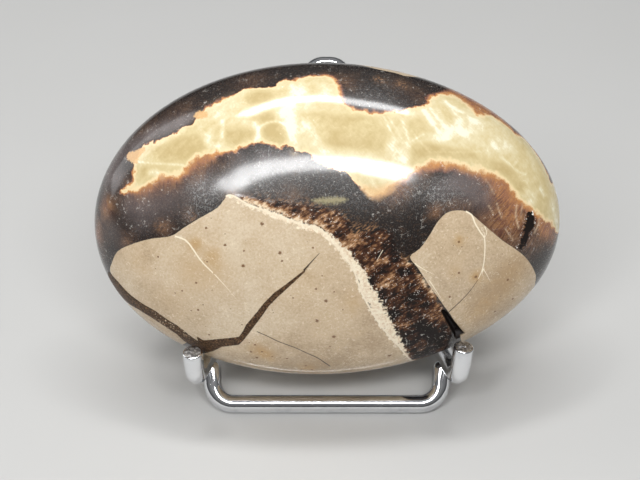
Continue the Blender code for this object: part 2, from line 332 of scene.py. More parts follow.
# soft patches: place in pixels, radius in millimetres, strength
PATCHES = {
    # how wide the orange fringe is round the calcite, in millimetres
    "fringe": [
        (222, 99, 1.8, 0.5), (205, 112, 1.4, 0.5), (327, 79, 1.6, 1.2), (338, 92, 1.6, 1.6),
        (300, 78, 2.4, 0.4), (356, 111, 2.0, 0.5), (382, 115, 2.4, 0.7), (415, 109, 1.4, 0.4),
        (432, 98, 1.4, 0.6), (445, 92, 2.0, 0.8), (466, 97, 3.0, 4.2), (484, 107, 3.0, 4.2),
        (500, 116, 3.0, 1.4), (520, 134, 3.4, 0.9), (540, 160, 3.4, 0.9), (140, 188, 2.4, 1.8),
        (160, 179, 2.4, 1.9), (178, 174, 2.0, 1.7), (192, 161, 2.0, 2.0), (205, 155, 1.8, 1.8),
        (216, 155, 1.4, 0.6), (228, 151, 1.8, 0.5), (243, 146, 1.4, 0.4), (270, 146, 2.4, 0.25),
        (362, 190, 1.0, 0.4), (376, 197, 1.6, 0.7), (390, 190, 1.8, 1.8), (404, 178, 1.4, 1.4),
        (424, 163, 2.0, 2.0), (440, 162, 2.2, 2.2), (460, 166, 2.2, 2.3), (478, 172, 2.2, 2.5),
        (496, 184, 2.6, 2.2), (512, 200, 2.8, 2.6), (545, 226, 2.6, 2.4), (530, 207, 1.5, 0.8),
    ],
    # warm brown places in the dark crust
    "brown": [
        (130, 192, 2.2, 0.6), (150, 190, 2.6, 0.5), (172, 182, 2.6, 0.5), (108, 208, 1.8, 1.0),
        (99, 225, 2.2, 0.8), (104, 160, 2.4, 0.4), (98, 250, 2.4, 0.4), (196, 170, 2.2, 0.5),
        (225, 158, 2.0, 0.4), (232, 198, 1.2, 1.0), (245, 201, 1.0, 0.8), (290, 198, 2.0, 0.4),
        (392, 192, 2.2, 0.6), (436, 210, 1.2, 0.4), (452, 205, 1.4, 0.5), (466, 206, 1.4, 0.5),
        (485, 222, 2.0, 0.9), (498, 230, 2.6, 1.0), (510, 238, 2.2, 1.0), (516, 222, 2.2, 0.9),
        (500, 205, 3.0, 0.5), (528, 240, 1.6, 0.9), (540, 236, 2.0, 0.4), (532, 252, 1.6, 0.3),
        (165, 228, 1.4, 0.6), (125, 243, 1.8, 0.5), (188, 215, 1.2, 0.5), (400, 84, 2.2, 0.3),
        (420, 97, 2.0, 0.3), (250, 82, 3.0, 0.35), (345, 82, 2.0, 0.5), (180, 112, 3.0, 0.35),
        (145, 130, 3.0, 0.35),
    ],
    # golden crystals, or none where the strength is below zero
    "gold": [
        (245, 202, 1.0, 0.7), (262, 206, 1.5, 1.0), (282, 210, 1.8, 1.0), (302, 213, 1.8, 1.0),
        (320, 219, 1.8, 1.0), (338, 226, 1.8, 1.0), (350, 238, 1.8, 0.9), (362, 250, 1.8, 0.9),
        (370, 232, 1.6, 0.8), (382, 238, 1.6, 0.7), (375, 262, 2.0, 0.9), (387, 276, 2.0, 1.2),
        (398, 300, 1.8, 0.6), (404, 322, 1.5, 0.6), (403, 258, 1.6, 0.7), (394, 222, 2.6, -0.7),
        (403, 243, 2.2, -0.7), (408, 294, 1.6, -0.5), (420, 322, 1.6, -0.7), (415, 350, 2.4, -0.7),
        (437, 312, 0.9, 1.1), (441, 322, 0.9, 1.1), (430, 318, 0.8, 0.4), (422, 345, 1.0, 0.3),
        (434, 213, 0.8, 0.5), (160, 226, 1.0, 0.5), (166, 319, 1.8, 1.0), (186, 332, 1.4, 0.5),
        (192, 216, 0.8, 0.6), (379, 79, 0.8, 0.9), (402, 84, 0.9, 0.8), (128, 241, 1.0, 0.4),
        (118, 98, 1.0, 0.4),
    ],
    # grey needles and a whitish haze in the crust: the haze is a stronger coat, and the needles' grey is
    # painted sheen near the reflections
    "fuzz": [
        (203, 198, 2.4, 0.9), (196, 186, 1.6, 0.6), (212, 190, 2.0, 0.6), (300, 185, 5.0, 0.35),
        (260, 185, 4.0, 0.4), (345, 190, 3.0, 0.4), (365, 200, 2.0, 0.3), (395, 195, 2.4, 0.4),
        (412, 190, 2.0, 0.5), (435, 193, 2.2, 0.9), (448, 190, 2.0, 0.5), (488, 190, 1.2, 0.7),
        (455, 200, 2.2, 0.4), (380, 92, 3.5, 0.4), (270, 155, 4.0, 0.3), (190, 215, 1.5, 0.7),
    ],
    # ochre stains on the limestone
    "stain": [
        (195, 245, 1.1, 0.9), (212, 257, 1.5, 0.6), (190, 272, 3.0, 0.35), (215, 275, 3.5, 0.3),
        (258, 350, 1.6, 0.8), (268, 356, 1.3, 0.6), (308, 369, 1.4, 0.8), (300, 290, 3.5, 0.25),
        (170, 300, 3.5, 0.2), (500, 290, 3.4, 0.35), (515, 268, 2.6, 0.35), (476, 277, 1.0, 0.7),
        (459, 241, 0.8, 0.6), (352, 300, 2.4, 0.3), (330, 320, 3.0, 0.2), (140, 262, 2.4, 0.2),
        (480, 312, 2.6, 0.4), (455, 272, 1.2, 0.35),
    ],
    # cloudy grey places in the crust: partly real cloudy aragonite, partly painted sheen of the soft
    # reflections
    "milk": [
        (122, 152, 1.8, 0.8), (135, 143, 1.6, 0.8), (150, 133, 1.5, 0.9), (165, 127, 1.5, 0.9),
        (180, 122, 1.4, 0.9), (192, 117, 1.0, 0.7), (113, 166, 2.0, 0.8), (108, 182, 2.0, 0.7),
        (118, 180, 1.6, 0.5), (150, 202, 3.0, 0.7), (172, 198, 2.6, 0.4), (130, 203, 2.2, 0.6),
        (190, 190, 2.2, 0.35), (172, 212, 1.8, 0.05), (140, 222, 2.6, 0.35), (112, 230, 2.2, 0.35),
        (455, 181, 1.8, 0.8), (470, 186, 2.2, 1.0), (485, 198, 2.0, 0.8), (440, 190, 1.6, 0.4),
        (535, 152, 1.6, 0.7), (546, 170, 1.6, 0.7), (552, 186, 1.4, 0.6), (205, 180, 2.2, 0.4),
        (385, 190, 2.0, 0.4), (238, 159, 1.6, 0.5), (265, 155, 1.8, 0.5), (292, 160, 1.8, 0.5),
    ],
    # clear orange-brown places in the crust
    "amber": [
        (462, 94, 1.8, 1.6), (475, 101, 2.2, 2.4), (488, 110, 2.0, 2.2), (503, 118, 1.6, 1.0),
        (500, 186, 2.4, 0.9), (510, 202, 2.6, 0.6), (516, 218, 2.2, 0.7), (500, 226, 2.0, 0.4),
        (548, 228, 1.8, 1.6), (554, 238, 1.2, 0.8), (543, 222, 1.4, 0.9), (190, 163, 2.0, 0.7),
        (205, 158, 1.6, 0.7), (172, 178, 1.6, 0.5), (155, 183, 1.6, 0.5), (140, 190, 1.6, 0.5),
        (97, 235, 1.4, 0.8), (105, 205, 1.4, 0.5), (400, 184, 1.6, 0.6), (424, 168, 1.4, 0.6),
        (324, 80, 1.4, 0.7), (436, 212, 1.0, 0.25), (540, 166, 1.2, 0.5), (548, 180, 1.2, 0.5),
    ],
    # darker limestone, partly the plates' own tone and partly painted shade where the face turns under
    # towards the stone's lower edge; paler where the strength is below zero
    "shade": [
        (225, 250, 9.0, -0.5), (505, 285, 5.0, 0.7), (478, 318, 5.0, 0.8), (370, 335, 6.0, 0.3),
        (330, 368, 7.0, 1.2), (260, 358, 5.0, 0.5), (150, 290, 5.0, -0.1), (120, 300, 5.0, 0.6),
        (170, 335, 4.0, 0.4), (395, 70, 6.0, 0.4), (440, 290, 3.0, 0.3),
    ],
    # where the calcite's edge is blurred, in millimetres
    "fade": [
        (376, 195, 1.8, 1.2), (366, 190, 1.4, 0.7), (389, 187, 1.6, 0.9), (402, 178, 1.2, 0.4),
        (330, 80, 1.6, 0.4), (337, 92, 1.8, 0.5), (546, 172, 2.4, 0.35),
    ],
    # deeper calcite, or paler where the strength is below zero
    "deep": [
        (170, 150, 3.4, 0.22), (195, 140, 3.0, 0.2), (225, 130, 2.6, 0.15), (240, 136, 1.8, 0.5),
        (276, 133, 2.0, 0.5), (262, 117, 1.6, 0.3), (258, 97, 2.0, 0.6), (345, 130, 4.0, 0.25),
        (420, 127, 2.0, 0.3), (440, 152, 2.6, 0.4), (512, 175, 3.0, 0.4), (535, 205, 2.5, 0.4),
        (530, 165, 2.4, 0.3), (145, 170, 1.6, 0.5), (316, 86, 1.6, 0.4), (465, 100, 1.0, 0.4),
        (376, 176, 1.6, 0.4), (440, 130, 3.5, -0.5), (470, 122, 3.0, -0.5), (292, 135, 2.0, -0.5),
        (310, 100, 3.0, -0.4),
    ],
}

# rusty specks in the limestone: place and radius in pixels
SPECKS = [
    (206, 228, 1.3), (262, 224, 1.9), (225, 245, 1.5), (280, 253, 1.9), (282, 261, 1.3), (243, 266, 1.8),
    (244, 251, 1.0), (196, 283, 1.3), (182, 291, 1.0), (175, 293, 0.9), (198, 310, 1.3), (191, 311, 0.9),
    (203, 305, 0.9), (313, 248, 1.1), (326, 301, 1.8), (317, 321, 1.9), (334, 337, 1.9), (389.5, 356, 1.8),
    (334, 292, 0.9), (316, 289, 1.2), (209, 335, 1.1), (255, 345, 1.2), (262, 352, 1.2), (257, 358, 1.5),
    (251, 352, 1.3), (272, 357, 1.0), (287, 359, 1.1), (280, 358, 0.7), (306, 366, 1.3), (312, 370, 1.3),
    (301, 370, 1.0), (459, 242, 1.3), (459, 273, 1.3), (476, 277, 1.6), (450, 297, 1.2), (508, 280, 1.4),
    (495, 312, 1.2), (513, 299, 1.2), (462, 247, 0.8), (242, 325, 1.0), (246, 330, 0.9), (158, 257, 1.1),
    (322, 276, 0.8), (293, 298, 0.9), (343, 310, 0.8), (225, 234, 0.7), (207, 262, 0.9), (330, 347, 1.0),
]

# how finely a ray looks for the stone and halves its way to the skin, and how near the rim a place on
# the stone's back may lie
RAY_STEPS = 90
HALVINGS = 40
BACK_RIM = 0.999

# how the markings are measured: the step of a drawn line on the unit sphere, the most distances that
# are worked out at once, how far from outlines and from fine lines they are measured in millimetres,
# and how far from a veil's middle in shares of its half-width
MAP_STEP = 0.03
BLOCK_CELLS = 400000
FAR = 7.0
NEAR = 1.5
VEIL_REACH = 3

# a length too small to see, that keeps a division from failing
TINY = 1e-9

# how exactly an edge of the twenty-faced solid is known, and to how many digits the vertices that its
# faces share agree
EDGE_SLACK = 0.01
SHARED_DIGITS = 6

# noise varies about this value
NOISE_MIDDLE = 0.5

# the ways that grain runs across the stone's face, as angles from its long side
WISP_TURN = 0.9
CLEAVAGE_TURN = 2.2
CRYSTAL_TURN = 0.6


def camera_axes():
    """The camera's right, up and forward directions and its place, in millimetres."""
    rise = CAMERA_ELEVATION
    right = np.array([1.0, 0.0, 0.0])
    up = np.array([0.0, math.sin(rise), math.cos(rise)])
    forward = np.array([0.0, math.cos(rise), -math.sin(rise)])
    aside = (STONE_PIXEL[0] - PICTURE_WIDTH / 2) / FOCAL_PIXELS * CAMERA_DISTANCE
    down = (STONE_PIXEL[1] - PICTURE_HEIGHT / 2) / FOCAL_PIXELS * CAMERA_DISTANCE
    place = STONE_MIDDLE - forward * CAMERA_DISTANCE - right * aside + up * down
    return right, up, forward, place


def outline_share(turn):
    """The outline's radius at an angle round the face, as a share of the ellipse's."""
    egg = OUTLINE_EGG * np.cos(3 * turn) + OUTLINE_EGG_TURN * np.sin(3 * turn)
    return 1.0 + OUTLINE_SKEW * np.sin(2 * turn) + egg


class StoneShape:
    """The stone's size and lean, and the ways between its skin, the unit sphere and the picture."""

    def __init__(self, settings):
        self.size = np.array(settings.size) / MM
        turn = math.pi / 2 - settings.lean
        across = (1, 0, 0)
        up = (0, math.cos(turn), math.sin(turn))
        out = (0, -math.sin(turn), math.cos(turn))
        self.axes = np.column_stack([across, up, out])

    def surface_from_unit(self, unit):
        """Points on the stone, in its own axes, for points of the unit sphere."""
        share = outline_share(np.arctan2(unit[:, 1], unit[:, 0]))
        points = unit * self.size / 2
        points[:, :2] *= share[:, None]
        return points

    def unit_from_own(self, own):
        """Points in the stone's own axes, set out from its middle in shares of its size."""
        scaled = own * 2 / self.size
        share = outline_share(np.arctan2(scaled[:, 1], scaled[:, 0]))
        scaled[:, :2] /= share[:, None]
        return scaled

    def seen_at(self, pixels):
        """The unit-sphere points of the stone that the camera sees at some pixels.

        A pixel just outside the stone gives the nearest point of its rim.
        """
        right, up, forward, place = camera_axes()
        pixels = np.asarray(pixels, float)
        aside = (pixels[:, 0] - PICTURE_WIDTH / 2) / FOCAL_PIXELS
        down = (pixels[:, 1] - PICTURE_HEIGHT / 2) / FOCAL_PIXELS
        rays = forward + aside[:, None] * right - down[:, None] * up
        rays /= np.linalg.norm(rays, axis=1)[:, None]
        start = (place - STONE_MIDDLE) @ self.axes
        rays = rays @ self.axes
        reach = float(self.size[0])

        def level(distance):
            """How far out each ray's point lies, where 1 is the stone's skin."""
            return np.linalg.norm(self.unit_from_own(start + rays * distance[:, None]), axis=1)

        # each ray is searched about its nearest point to the stone's middle, then halved to the skin
        middle = -(rays @ start)
        near = middle - reach / 2
        steps = np.linspace(-reach / 2, reach / 2, RAY_STEPS)
        levels = np.array([level(middle + step) for step in steps])
        deepest = middle + steps[levels.argmin(axis=0)]
        far = deepest.copy()
        missed = level(deepest) >= 1.0
        for _ in range(HALVINGS):
            half = (near + far) / 2
            outside = level(half) > 1.0
            near = np.where(outside, half, near)
            far = np.where(outside, far, half)
        unit = self.unit_from_own(start + rays * np.where(missed, deepest, far)[:, None])
        return unit / np.linalg.norm(unit, axis=1)[:, None]

    def behind_at(self, places):
        """The unit-sphere points on the stone's back at places in its own plane, in millimetres."""
        places = np.asarray(places, float)
        flat = self.unit_from_own(np.column_stack([places, np.zeros(len(places))]))
        radius = np.minimum(np.hypot(flat[:, 0], flat[:, 1]), BACK_RIM)
        flat[:, 2] = -np.sqrt(1.0 - radius**2)
        return flat / np.linalg.norm(flat, axis=1)[:, None]


def to_map(unit):
    """A flat map of the unit sphere about its +Z point, true in distance from it."""
    ring = np.hypot(unit[:, 0], unit[:, 1])
    angle = np.arctan2(ring, unit[:, 2])
    return unit[:, :2] * (angle / np.maximum(ring, TINY))[:, None]


def from_map(flat):
    """The points of the unit sphere at places of the map."""
    angle = np.hypot(flat[:, 0], flat[:, 1])
    ring = np.sin(angle) / np.maximum(angle, TINY)
    return np.column_stack([flat[:, 0] * ring, flat[:, 1] * ring, np.cos(angle)])


def map_axes(unit_points):
    """Axes whose +Z is the middle of some points of the unit sphere, as the columns of a turn."""
    out = unit_points.mean(axis=0)
    out /= np.linalg.norm(out)
    aside = np.cross([0.0, 1.0, 0.0], out)
    aside /= np.linalg.norm(aside)
    return np.column_stack([aside, np.cross(out, aside), out])


def curve_through(points, closed, smooth):
    """A fine path through points of the map, rounded at the points or straight between them."""
    count = len(points)
    legs = count if closed else count - 1
    path = []
    for k in range(legs):
        start, end = points[k], points[(k + 1) % count]
        if closed:
            before, after = points[k - 1], points[(k + 2) % count]
        else:
            before, after = points[max(k - 1, 0)], points[min(k + 2, count - 1)]
        steps = max(1, math.ceil(np.linalg.norm(end - start) / MAP_STEP))
        for t in np.arange(steps) / steps:
            place = start + t * (end - start)
            # a smooth path is a cubic whose ends run the way that the neighbouring points lie
            if smooth:
                lift = -before + 3 * start - 3 * end + after
                sway = 2 * before - 5 * start + 4 * end - after
                place = start + 0.5 * t * (end - before + t * (sway + t * lift))
            path.append(place)
    if not closed:
        path.append(points[-1])
    return np.array(path)


class Marking:
    """A line or an outline drawn on the stone, measured from every vertex."""

    def __init__(self, shape, unit_points, closed=True, smooth=True):
        self.closed = closed
        self.axes = map_axes(unit_points)
        flat = curve_through(to_map(unit_points @ self.axes), closed, smooth)
        self.flat = np.vstack([flat, flat[:1]]) if closed else flat
        self.solid = shape.surface_from_unit(from_map(self.flat) @ self.axes.T)

    def measure(self, stone, reach):
        """Distance up to a reach, place along the line and which side, for each vertex."""
        count = len(stone.own)
        distance = np.full(count, float(reach))
        along = np.zeros(count)
        side = np.full(count, -1.0)
        places = to_map(stone.unit @ self.axes)
        start = self.solid[:-1].astype(np.float32)
        leg = self.solid[1:].astype(np.float32) - start
        length = np.linalg.norm(leg, axis=1)
        run = np.concatenate([[0.0], np.cumsum(length)])
        squared = np.maximum(length**2, TINY)
        # distances are measured through the stone, and sides are told in the flat map
        for part in self.blocks(self.within(stone.own, self.solid, reach)):
            offset = stone.own[part, None, :].astype(np.float32) - start
            share = np.clip(np.einsum("ijk,jk->ij", offset, leg) / squared, 0.0, 1.0)
            offset -= share[:, :, None] * leg
            gap = np.einsum("ijk,ijk->ij", offset, offset)
            nearest = gap.argmin(axis=1)
            rows = np.arange(len(part))
            distance[part] = np.minimum(np.sqrt(gap[rows, nearest]), reach)
            along[part] = run[nearest] + share[rows, nearest] * length[nearest]
            if not self.closed:
                step = self.flat[nearest + 1] - self.flat[nearest]
                aside = places[part] - self.flat[nearest]
                side[part] = np.sign(step[:, 0] * aside[:, 1] - step[:, 1] * aside[:, 0])
        if self.closed:
            self.mark_inside(places, side)
        return distance, along, side, run[-1]

    def mark_inside(self, places, side):
        """Sets side to 1 at the vertices that the outline goes round."""
        start = self.flat[:-1]
        end = self.flat[1:]
        rise = end[:, 1] - start[:, 1]
        slope = (end[:, 0] - start[:, 0]) / np.where(rise == 0, TINY, rise)
        for part in self.blocks(self.within(places, self.flat, 0.0)):
            x = places[part, 0][:, None]
            y = places[part, 1][:, None]
            crosses = (start[:, 1] > y) != (end[:, 1] > y)
            crosses &= x < start[:, 0] + (y - start[:, 1]) * slope
            side[part] = np.where(crosses.sum(axis=1) % 2 == 1, 1.0, -1.0)

    @staticmethod
    def within(points, line, reach):
        """The numbers of the points in the box round a line, widened by a reach."""
        low = line.min(axis=0) - reach
        high = line.max(axis=0) + reach
        return np.flatnonzero(((points >= low) & (points <= high)).all(axis=1))

    def blocks(self, numbers):
        """The numbers in runs that are short enough to be measured at once."""
        size = max(1, BLOCK_CELLS // len(self.flat))
        return [numbers[low : low + size] for low in range(0, len(numbers), size)]


class StoneSurface:
    """The stone's fine surface: its vertices in several coordinates, its faces and its markings."""

    def __init__(self, shape, frequency, front_share):
        self.shape = shape
        self.unit, self.faces = geodesic_sphere(frequency)
        angle = np.arccos(np.clip(self.unit[:, 2], -1, 1))
        # the vertices are drawn towards the face, so that it is cut more finely than the back
        wanted = angle * (1 - front_share * (1 - angle / math.pi))
        ring = np.maximum(np.hypot(self.unit[:, 0], self.unit[:, 1]), TINY)
        self.unit[:, :2] *= (np.sin(wanted) / ring)[:, None]
        self.unit[:, 2] = np.cos(wanted)
        self.own = shape.surface_from_unit(self.unit)
        self.marks = {}

    def normals(self):
        """The outward directions of the skin."""
        normal = self.own / self.shape.size**2
        return normal / np.linalg.norm(normal, axis=1)[:, None]

    def outline(self, name, outlines, smooth=True):
        """Signed distance to the nearest of some outlines, above zero inside, and the place along it."""
        best = np.full(len(self.own), -FAR)
        place = np.zeros(len(self.own))
        for unit_points in outlines:
            distance, along, side, _ = Marking(self.shape, unit_points, True, smooth).measure(self, FAR)
            place = np.where(distance * side > best, along, place)
            best = np.maximum(best, distance * side)
        self.marks[name] = best
        return place

    def lines(self, name, lines):
        """Signed distance to the nearest of some lines and its half-width there."""
        best = np.full(len(self.own), NEAR)
        across = np.full(len(self.own), NEAR)
        width = np.full(len(self.own), -NEAR)
        for points, first, last in lines:
            line = Marking(self.shape, self.shape.seen_at(points), False)
            distance, along, side, length = line.measure(self, NEAR)
            share = along / length
            nearer = (distance < best) & (share > 0) & (share < 1)
            best = np.where(nearer, distance, best)
            across = np.where(nearer, distance * side, across)
            width = np.where(nearer, (first + share * (last - first)) / 2, width)
        self.marks[name + "_across"] = across
        self.marks[name + "_width"] = width

    def patches(self, name, patches):
        """A sum of soft round patches."""
        seen = self.shape.seen_at([(x, y) for x, y, radius, strength in patches])
        centres = self.shape.surface_from_unit(seen)
        total = np.zeros(len(self.own))
        for centre, (_, _, radius, strength) in zip(centres, patches):
            gap = ((self.own - centre) ** 2).sum(axis=1)
            total += strength * np.exp(-gap / radius**2)
        self.marks[name] = total

    def veils(self, name, veils):
        """A sum of soft bands along lines."""
        total = np.zeros(len(self.own))
        for points, radius, strength in veils:
            band = Marking(self.shape, self.shape.seen_at(points), False)
            distance = band.measure(self, VEIL_REACH * radius)[0]
            total += strength * np.exp(-((distance / radius) ** 2))
        self.marks[name] = total


def cut_face(frequency):
    """One triangle cut into small ones: the shares of its corners at each vertex, and the faces."""
    rows, columns = np.meshgrid(range(frequency + 1), range(frequency + 1), indexing="ij")
    kept = columns <= rows
    number = np.full(kept.shape, -1)
    number[kept] = range(kept.sum())
    second = (rows[kept] - columns[kept]) / frequency
    third = columns[kept] / frequency
    upper = []
    lower = []
    for r in range(frequency):
        for c in range(r + 1):
            upper.append((number[r, c], number[r + 1, c], number[r + 1, c + 1]))
        for c in range(r):
            lower.append((number[r, c], number[r + 1, c + 1], number[r, c + 1]))
    return np.column_stack([1 - second - third, second, third]), np.array(upper + lower)


def geodesic_sphere(frequency):
    """The unit sphere as an icosahedron whose faces are cut into frequency squared triangles."""
    golden = (1 + math.sqrt(5)) / 2
    radius = math.sqrt(1 + golden**2)
    corners = []
    for a in (-1, 1):
        for b in (-golden, golden):
            corners += [(0, a, b), (a, b, 0), (b, 0, a)]
    corners = np.array(corners) / radius
    gaps = np.linalg.norm(corners[:, None] - corners[None], axis=2)
    joined = np.abs(gaps - 2 / radius) < EDGE_SLACK
    shares, pattern = cut_face(frequency)
    points = []
    faces = []
    for i, j, k in itertools.combinations(range(len(corners)), 3):
        if joined[i, j] and joined[j, k] and joined[i, k]:
            outward = np.cross(corners[j] - corners[i], corners[k] - corners[i]) @ corners[i]
            triangle = (i, j, k) if outward > 0 else (i, k, j)
            points.append(sum(np.outer(shares[:, n], corners[triangle[n]]) for n in range(3)))
            faces.append(pattern + (len(faces) * len(shares)))
    points = np.vstack(points)
    points /= np.linalg.norm(points, axis=1)[:, None]
    rounded = np.round(points, SHARED_DIGITS)
    _, index, shared = np.unique(rounded, axis=0, return_index=True, return_inverse=True)
    return points[index], shared.reshape(-1)[np.vstack(faces)]


def new_object(name, data):
    """An object in the scene for a mesh, a light or a camera."""
    item = bpy.data.objects.new(name, data)
    bpy.context.scene.collection.objects.link(item)
    return item


def object_from(name, shape):
    """An object in the scene for a mesh that is built face by face."""
    mesh = bpy.data.meshes.new(name)
    shape.to_mesh(mesh)
    shape.free()
    return new_object(name, mesh)


def smooth_object(name, points, faces):
    """A smooth object from arrays of points in millimetres and triangles."""
    mesh = bpy.data.meshes.new(name)
    mesh.from_pydata((points * MM).tolist(), [], faces.tolist())
    mesh.update()
    mesh.shade_smooth()
    return new_object(name, mesh)


def set_pose(item, place, right, up, back):
    """Puts a light or a camera at a place in metres, turned so that its back faces one way."""
    turn = Matrix((right, up, back)).transposed()
    item.matrix_world = Matrix.Translation(place) @ turn.to_4x4()


def rounded_corner(before, corner, after, radius, step):
    """The points of the arc that rounds a corner between two straight runs."""
    back = (before - corner).normalized()
    on = (after - corner).normalized()
    half_angle = back.angle(on) / 2
    centre = corner + (back + on).normalized() * (radius / math.sin(half_angle))
    start = corner + back * (radius / math.tan(half_angle)) - centre
    end = corner + on * (radius / math.tan(half_angle)) - centre
    sweep = math.pi - 2 * half_angle
    steps = max(LEAST_STEPS, round(sweep / step))
    points = []
    for k in range(steps + 1):
        share = k / steps
        early = math.sin((1 - share) * sweep) / math.sin(sweep)
        late = math.sin(share * sweep) / math.sin(sweep)
        points.append(centre + early * start + late * end)
    return points


def bent_path(corners, bends, step):
    """A wire's middle line: straight runs between corners, each inner corner rounded."""
    path = [corners[0]]
    for k, radius in enumerate(bends):
        path += rounded_corner(corners[k], corners[k + 1], corners[k + 2], radius, step)
    path.append(corners[-1])
    return path


def sweep_wire(name, path, radius, rim, saw_marks, sides):
    """A round wire along a path, its ends rounded by a rim and sawn unevenly, stood on the table."""
    shape = bmesh.new()
    cut = shape.verts.layers.float.new("cut")
    side = Vector((0.0, 0.0, 1.0))
    rings = []

    def ring(centre, tangent, size):
        """A ring of vertices, turned as little as it can be from the ring before it."""
        nonlocal side
        side = (side - side.dot(tangent) * tangent).normalized()
        other = tangent.cross(side)
        made = []
        for k in range(sides):
            turn = 2 * math.pi * k / sides
            made.append(shape.verts.new(centre + size * (math.cos(turn) * side + math.sin(turn) * other)))
        rings.append(made)

    def sawn_end(centre, outward, tangent, order):
        """Rings from the middle of a cut face out to the wire's skin, or the other way round."""
        flat = 1 - rim / radius
        shares = [(0.0, flat * share) for share in CUT_SHARES]
        for turn in np.linspace(0, math.pi / 2, RIM_RINGS):
            shares.append((rim * (1 - math.cos(turn)), flat + (1 - flat) * math.sin(turn)))
        for depth, share in shares[::order]:
            ring(centre - outward * depth, tangent, radius * share)

    legs = [(following - place).normalized() for place, following in zip(path, path[1:])]
    sawn_end(path[0], -legs[0], legs[0], 1)
    for place, before, after in zip(path[1:], legs, legs[1:]):
        ring(place, (before + after).normalized(), radius)
    sawn_end(path[-1], legs[-1], legs[-1], -1)
    for current, following in zip(rings, rings[1:]):
        for k in range(sides):
            after = (k + 1) % sides
            shape.faces.new((current[k], current[after], following[after], following[k]))
    shape.faces.new(reversed(rings[0]))
    shape.faces.new(rings[-1])
    random = np.random.default_rng(SAW_SEED)
    flat_rings = len(CUT_SHARES)
    for outward, sawn in ((-legs[0], rings[:flat_rings]), (legs[-1], rings[-flat_rings:])):
        for vertex in itertools.chain(*sawn):
            vertex.co += outward * (random.random() - SAW_SINK) * saw_marks
            vertex[cut] = 1.0
    lowest = min(vertex.co.z for vertex in shape.verts)
    shift = Vector(STAND_MIDDLE) - Vector((0.0, 0.0, lowest))
    bmesh.ops.translate(shape, vec=shift, verts=shape.verts)
    bmesh.ops.scale(shape, vec=(MM, MM, MM), verts=shape.verts)
    bmesh.ops.recalc_face_normals(shape, faces=shape.faces)
    wire = object_from(name, shape)
    wire.data.shade_smooth()
    return wire


def mirrored(corner, across):
    """A corner of the right half, or of the left half where across is below zero."""
    return Vector((across * corner[0], corner[1], corner[2]))


def peg_tip(across, rise, lean):
    """The cut end of a front peg that rises above its hook and leans back and aside."""
    back, aside = lean
    run = rise / math.cos(back)
    return mirrored(HOOK, across) + mirrored((run * math.sin(aside), run * math.sin(back), rise), across)


def back_wire_path(settings):
    """The back wire's middle line, from the left peg round the back to the right peg."""
    left = [mirrored(corner, -1) for corner in (HOOK, REAR, TOP)]
    right = [mirrored(corner, 1) for corner in (TOP, REAR, HOOK)]
    left_tip = peg_tip(-1, settings.left_peg / MM, LEFT_PEG_LEAN)
    right_tip = peg_tip(1, settings.right_peg / MM, RIGHT_PEG_LEAN)
    corners = [left_tip, *left, *right, right_tip]
    half_bends = [settings.hook_bend / MM, settings.rear_bend / MM, settings.top_bend / MM]
    return bent_path(corners, half_bends + half_bends[::-1], settings.bend_step)


def foot_wire_path(settings):
    """The foot wire's middle line, its legs carried on to meet the arms."""
    rise = (Vector(LEG_TOP) - Vector(FOOT)).normalized() * settings.leg_reach / MM
    top = Vector(LEG_TOP) + rise
    corners = [mirrored(top, -1), mirrored(FOOT, -1), mirrored(FOOT, 1), mirrored(top, 1)]
    return bent_path(corners, [settings.foot_bend / MM] * 2, settings.bend_step)


def slot_depth(surface, length, depth):
    """How far each vertex is sunk by the open slot, and its signed distance inside the slot."""
    x = surface.own[:, 0] - SLOT_CENTRE[0]
    y = surface.own[:, 1] - SLOT_CENTRE[1]
    along = x * math.cos(SLOT_TURN) + y * math.sin(SLOT_TURN)
    aside = y * math.cos(SLOT_TURN) - x * math.sin(SLOT_TURN)
    share = np.clip(along / length + 0.5, 0, 1)
    half = (SLOT_NARROW + share * (SLOT_WIDE - SLOT_NARROW)) / 2
    ends = length / 2 - np.abs(along)
    inside = np.minimum(half - np.abs(aside), ends)
    inside = np.where(surface.own[:, 2] > 0, np.maximum(inside, -FAR), -FAR)
    sunk = depth * np.clip(inside / (SLOT_NARROW / 2), 0, 1)
    return sunk, inside


def read_markings(surface):
    """Measures every marking from every vertex."""
    seen_at = surface.shape.seen_at
    behind_at = surface.shape.behind_at

    def loop(front, behind, foot=()):
        """An outline that runs over the face, round the back, and over the face again."""
        parts = [seen_at(front), behind_at(behind)]
        if foot:
            parts.append(seen_at(foot))
        return np.vstack(parts)

    plates = [
        loop(LEFT_PLATE, LEFT_PLATE_BEHIND, LEFT_PLATE_FOOT),
        loop(LOWER_SLIVER, LOWER_SLIVER_BEHIND),
        loop(RIGHT_PLATE, RIGHT_PLATE_BEHIND, RIGHT_PLATE_FOOT),
        loop(TOP_PLATE, TOP_PLATE_BEHIND),
    ]
    bands = [loop(CALCITE_TOP, CALCITE_BEHIND, CALCITE_FOOT), behind_at(CALCITE_BACK)]
    surface.outline("limestone", plates)
    surface.marks["calcite_along"] = surface.outline("calcite", bands)
    surface.outline("crack", [seen_at(BROWN_CRACK), seen_at(LOWER_VEIN)], smooth=False)
    outlines = {
        "rim": [CREAM_RIM],
        "vein": [GOLDEN_VEIN],
        "cell": CLEAR_CELLS,
        "orange": ORANGE_CRUSTS,
        "cavity": [CAVITY],
        "lens": [LENS],
    }
    for name, loops in outlines.items():
        surface.outline(name, [seen_at(points) for points in loops])
    surface.lines("pale", PALE_LINES)
    surface.lines("dark", DARK_LINES)
    surface.veils("veil", VEILS_AND_GLINTS)
    for name, patches in PATCHES.items():
        surface.patches(name, patches)


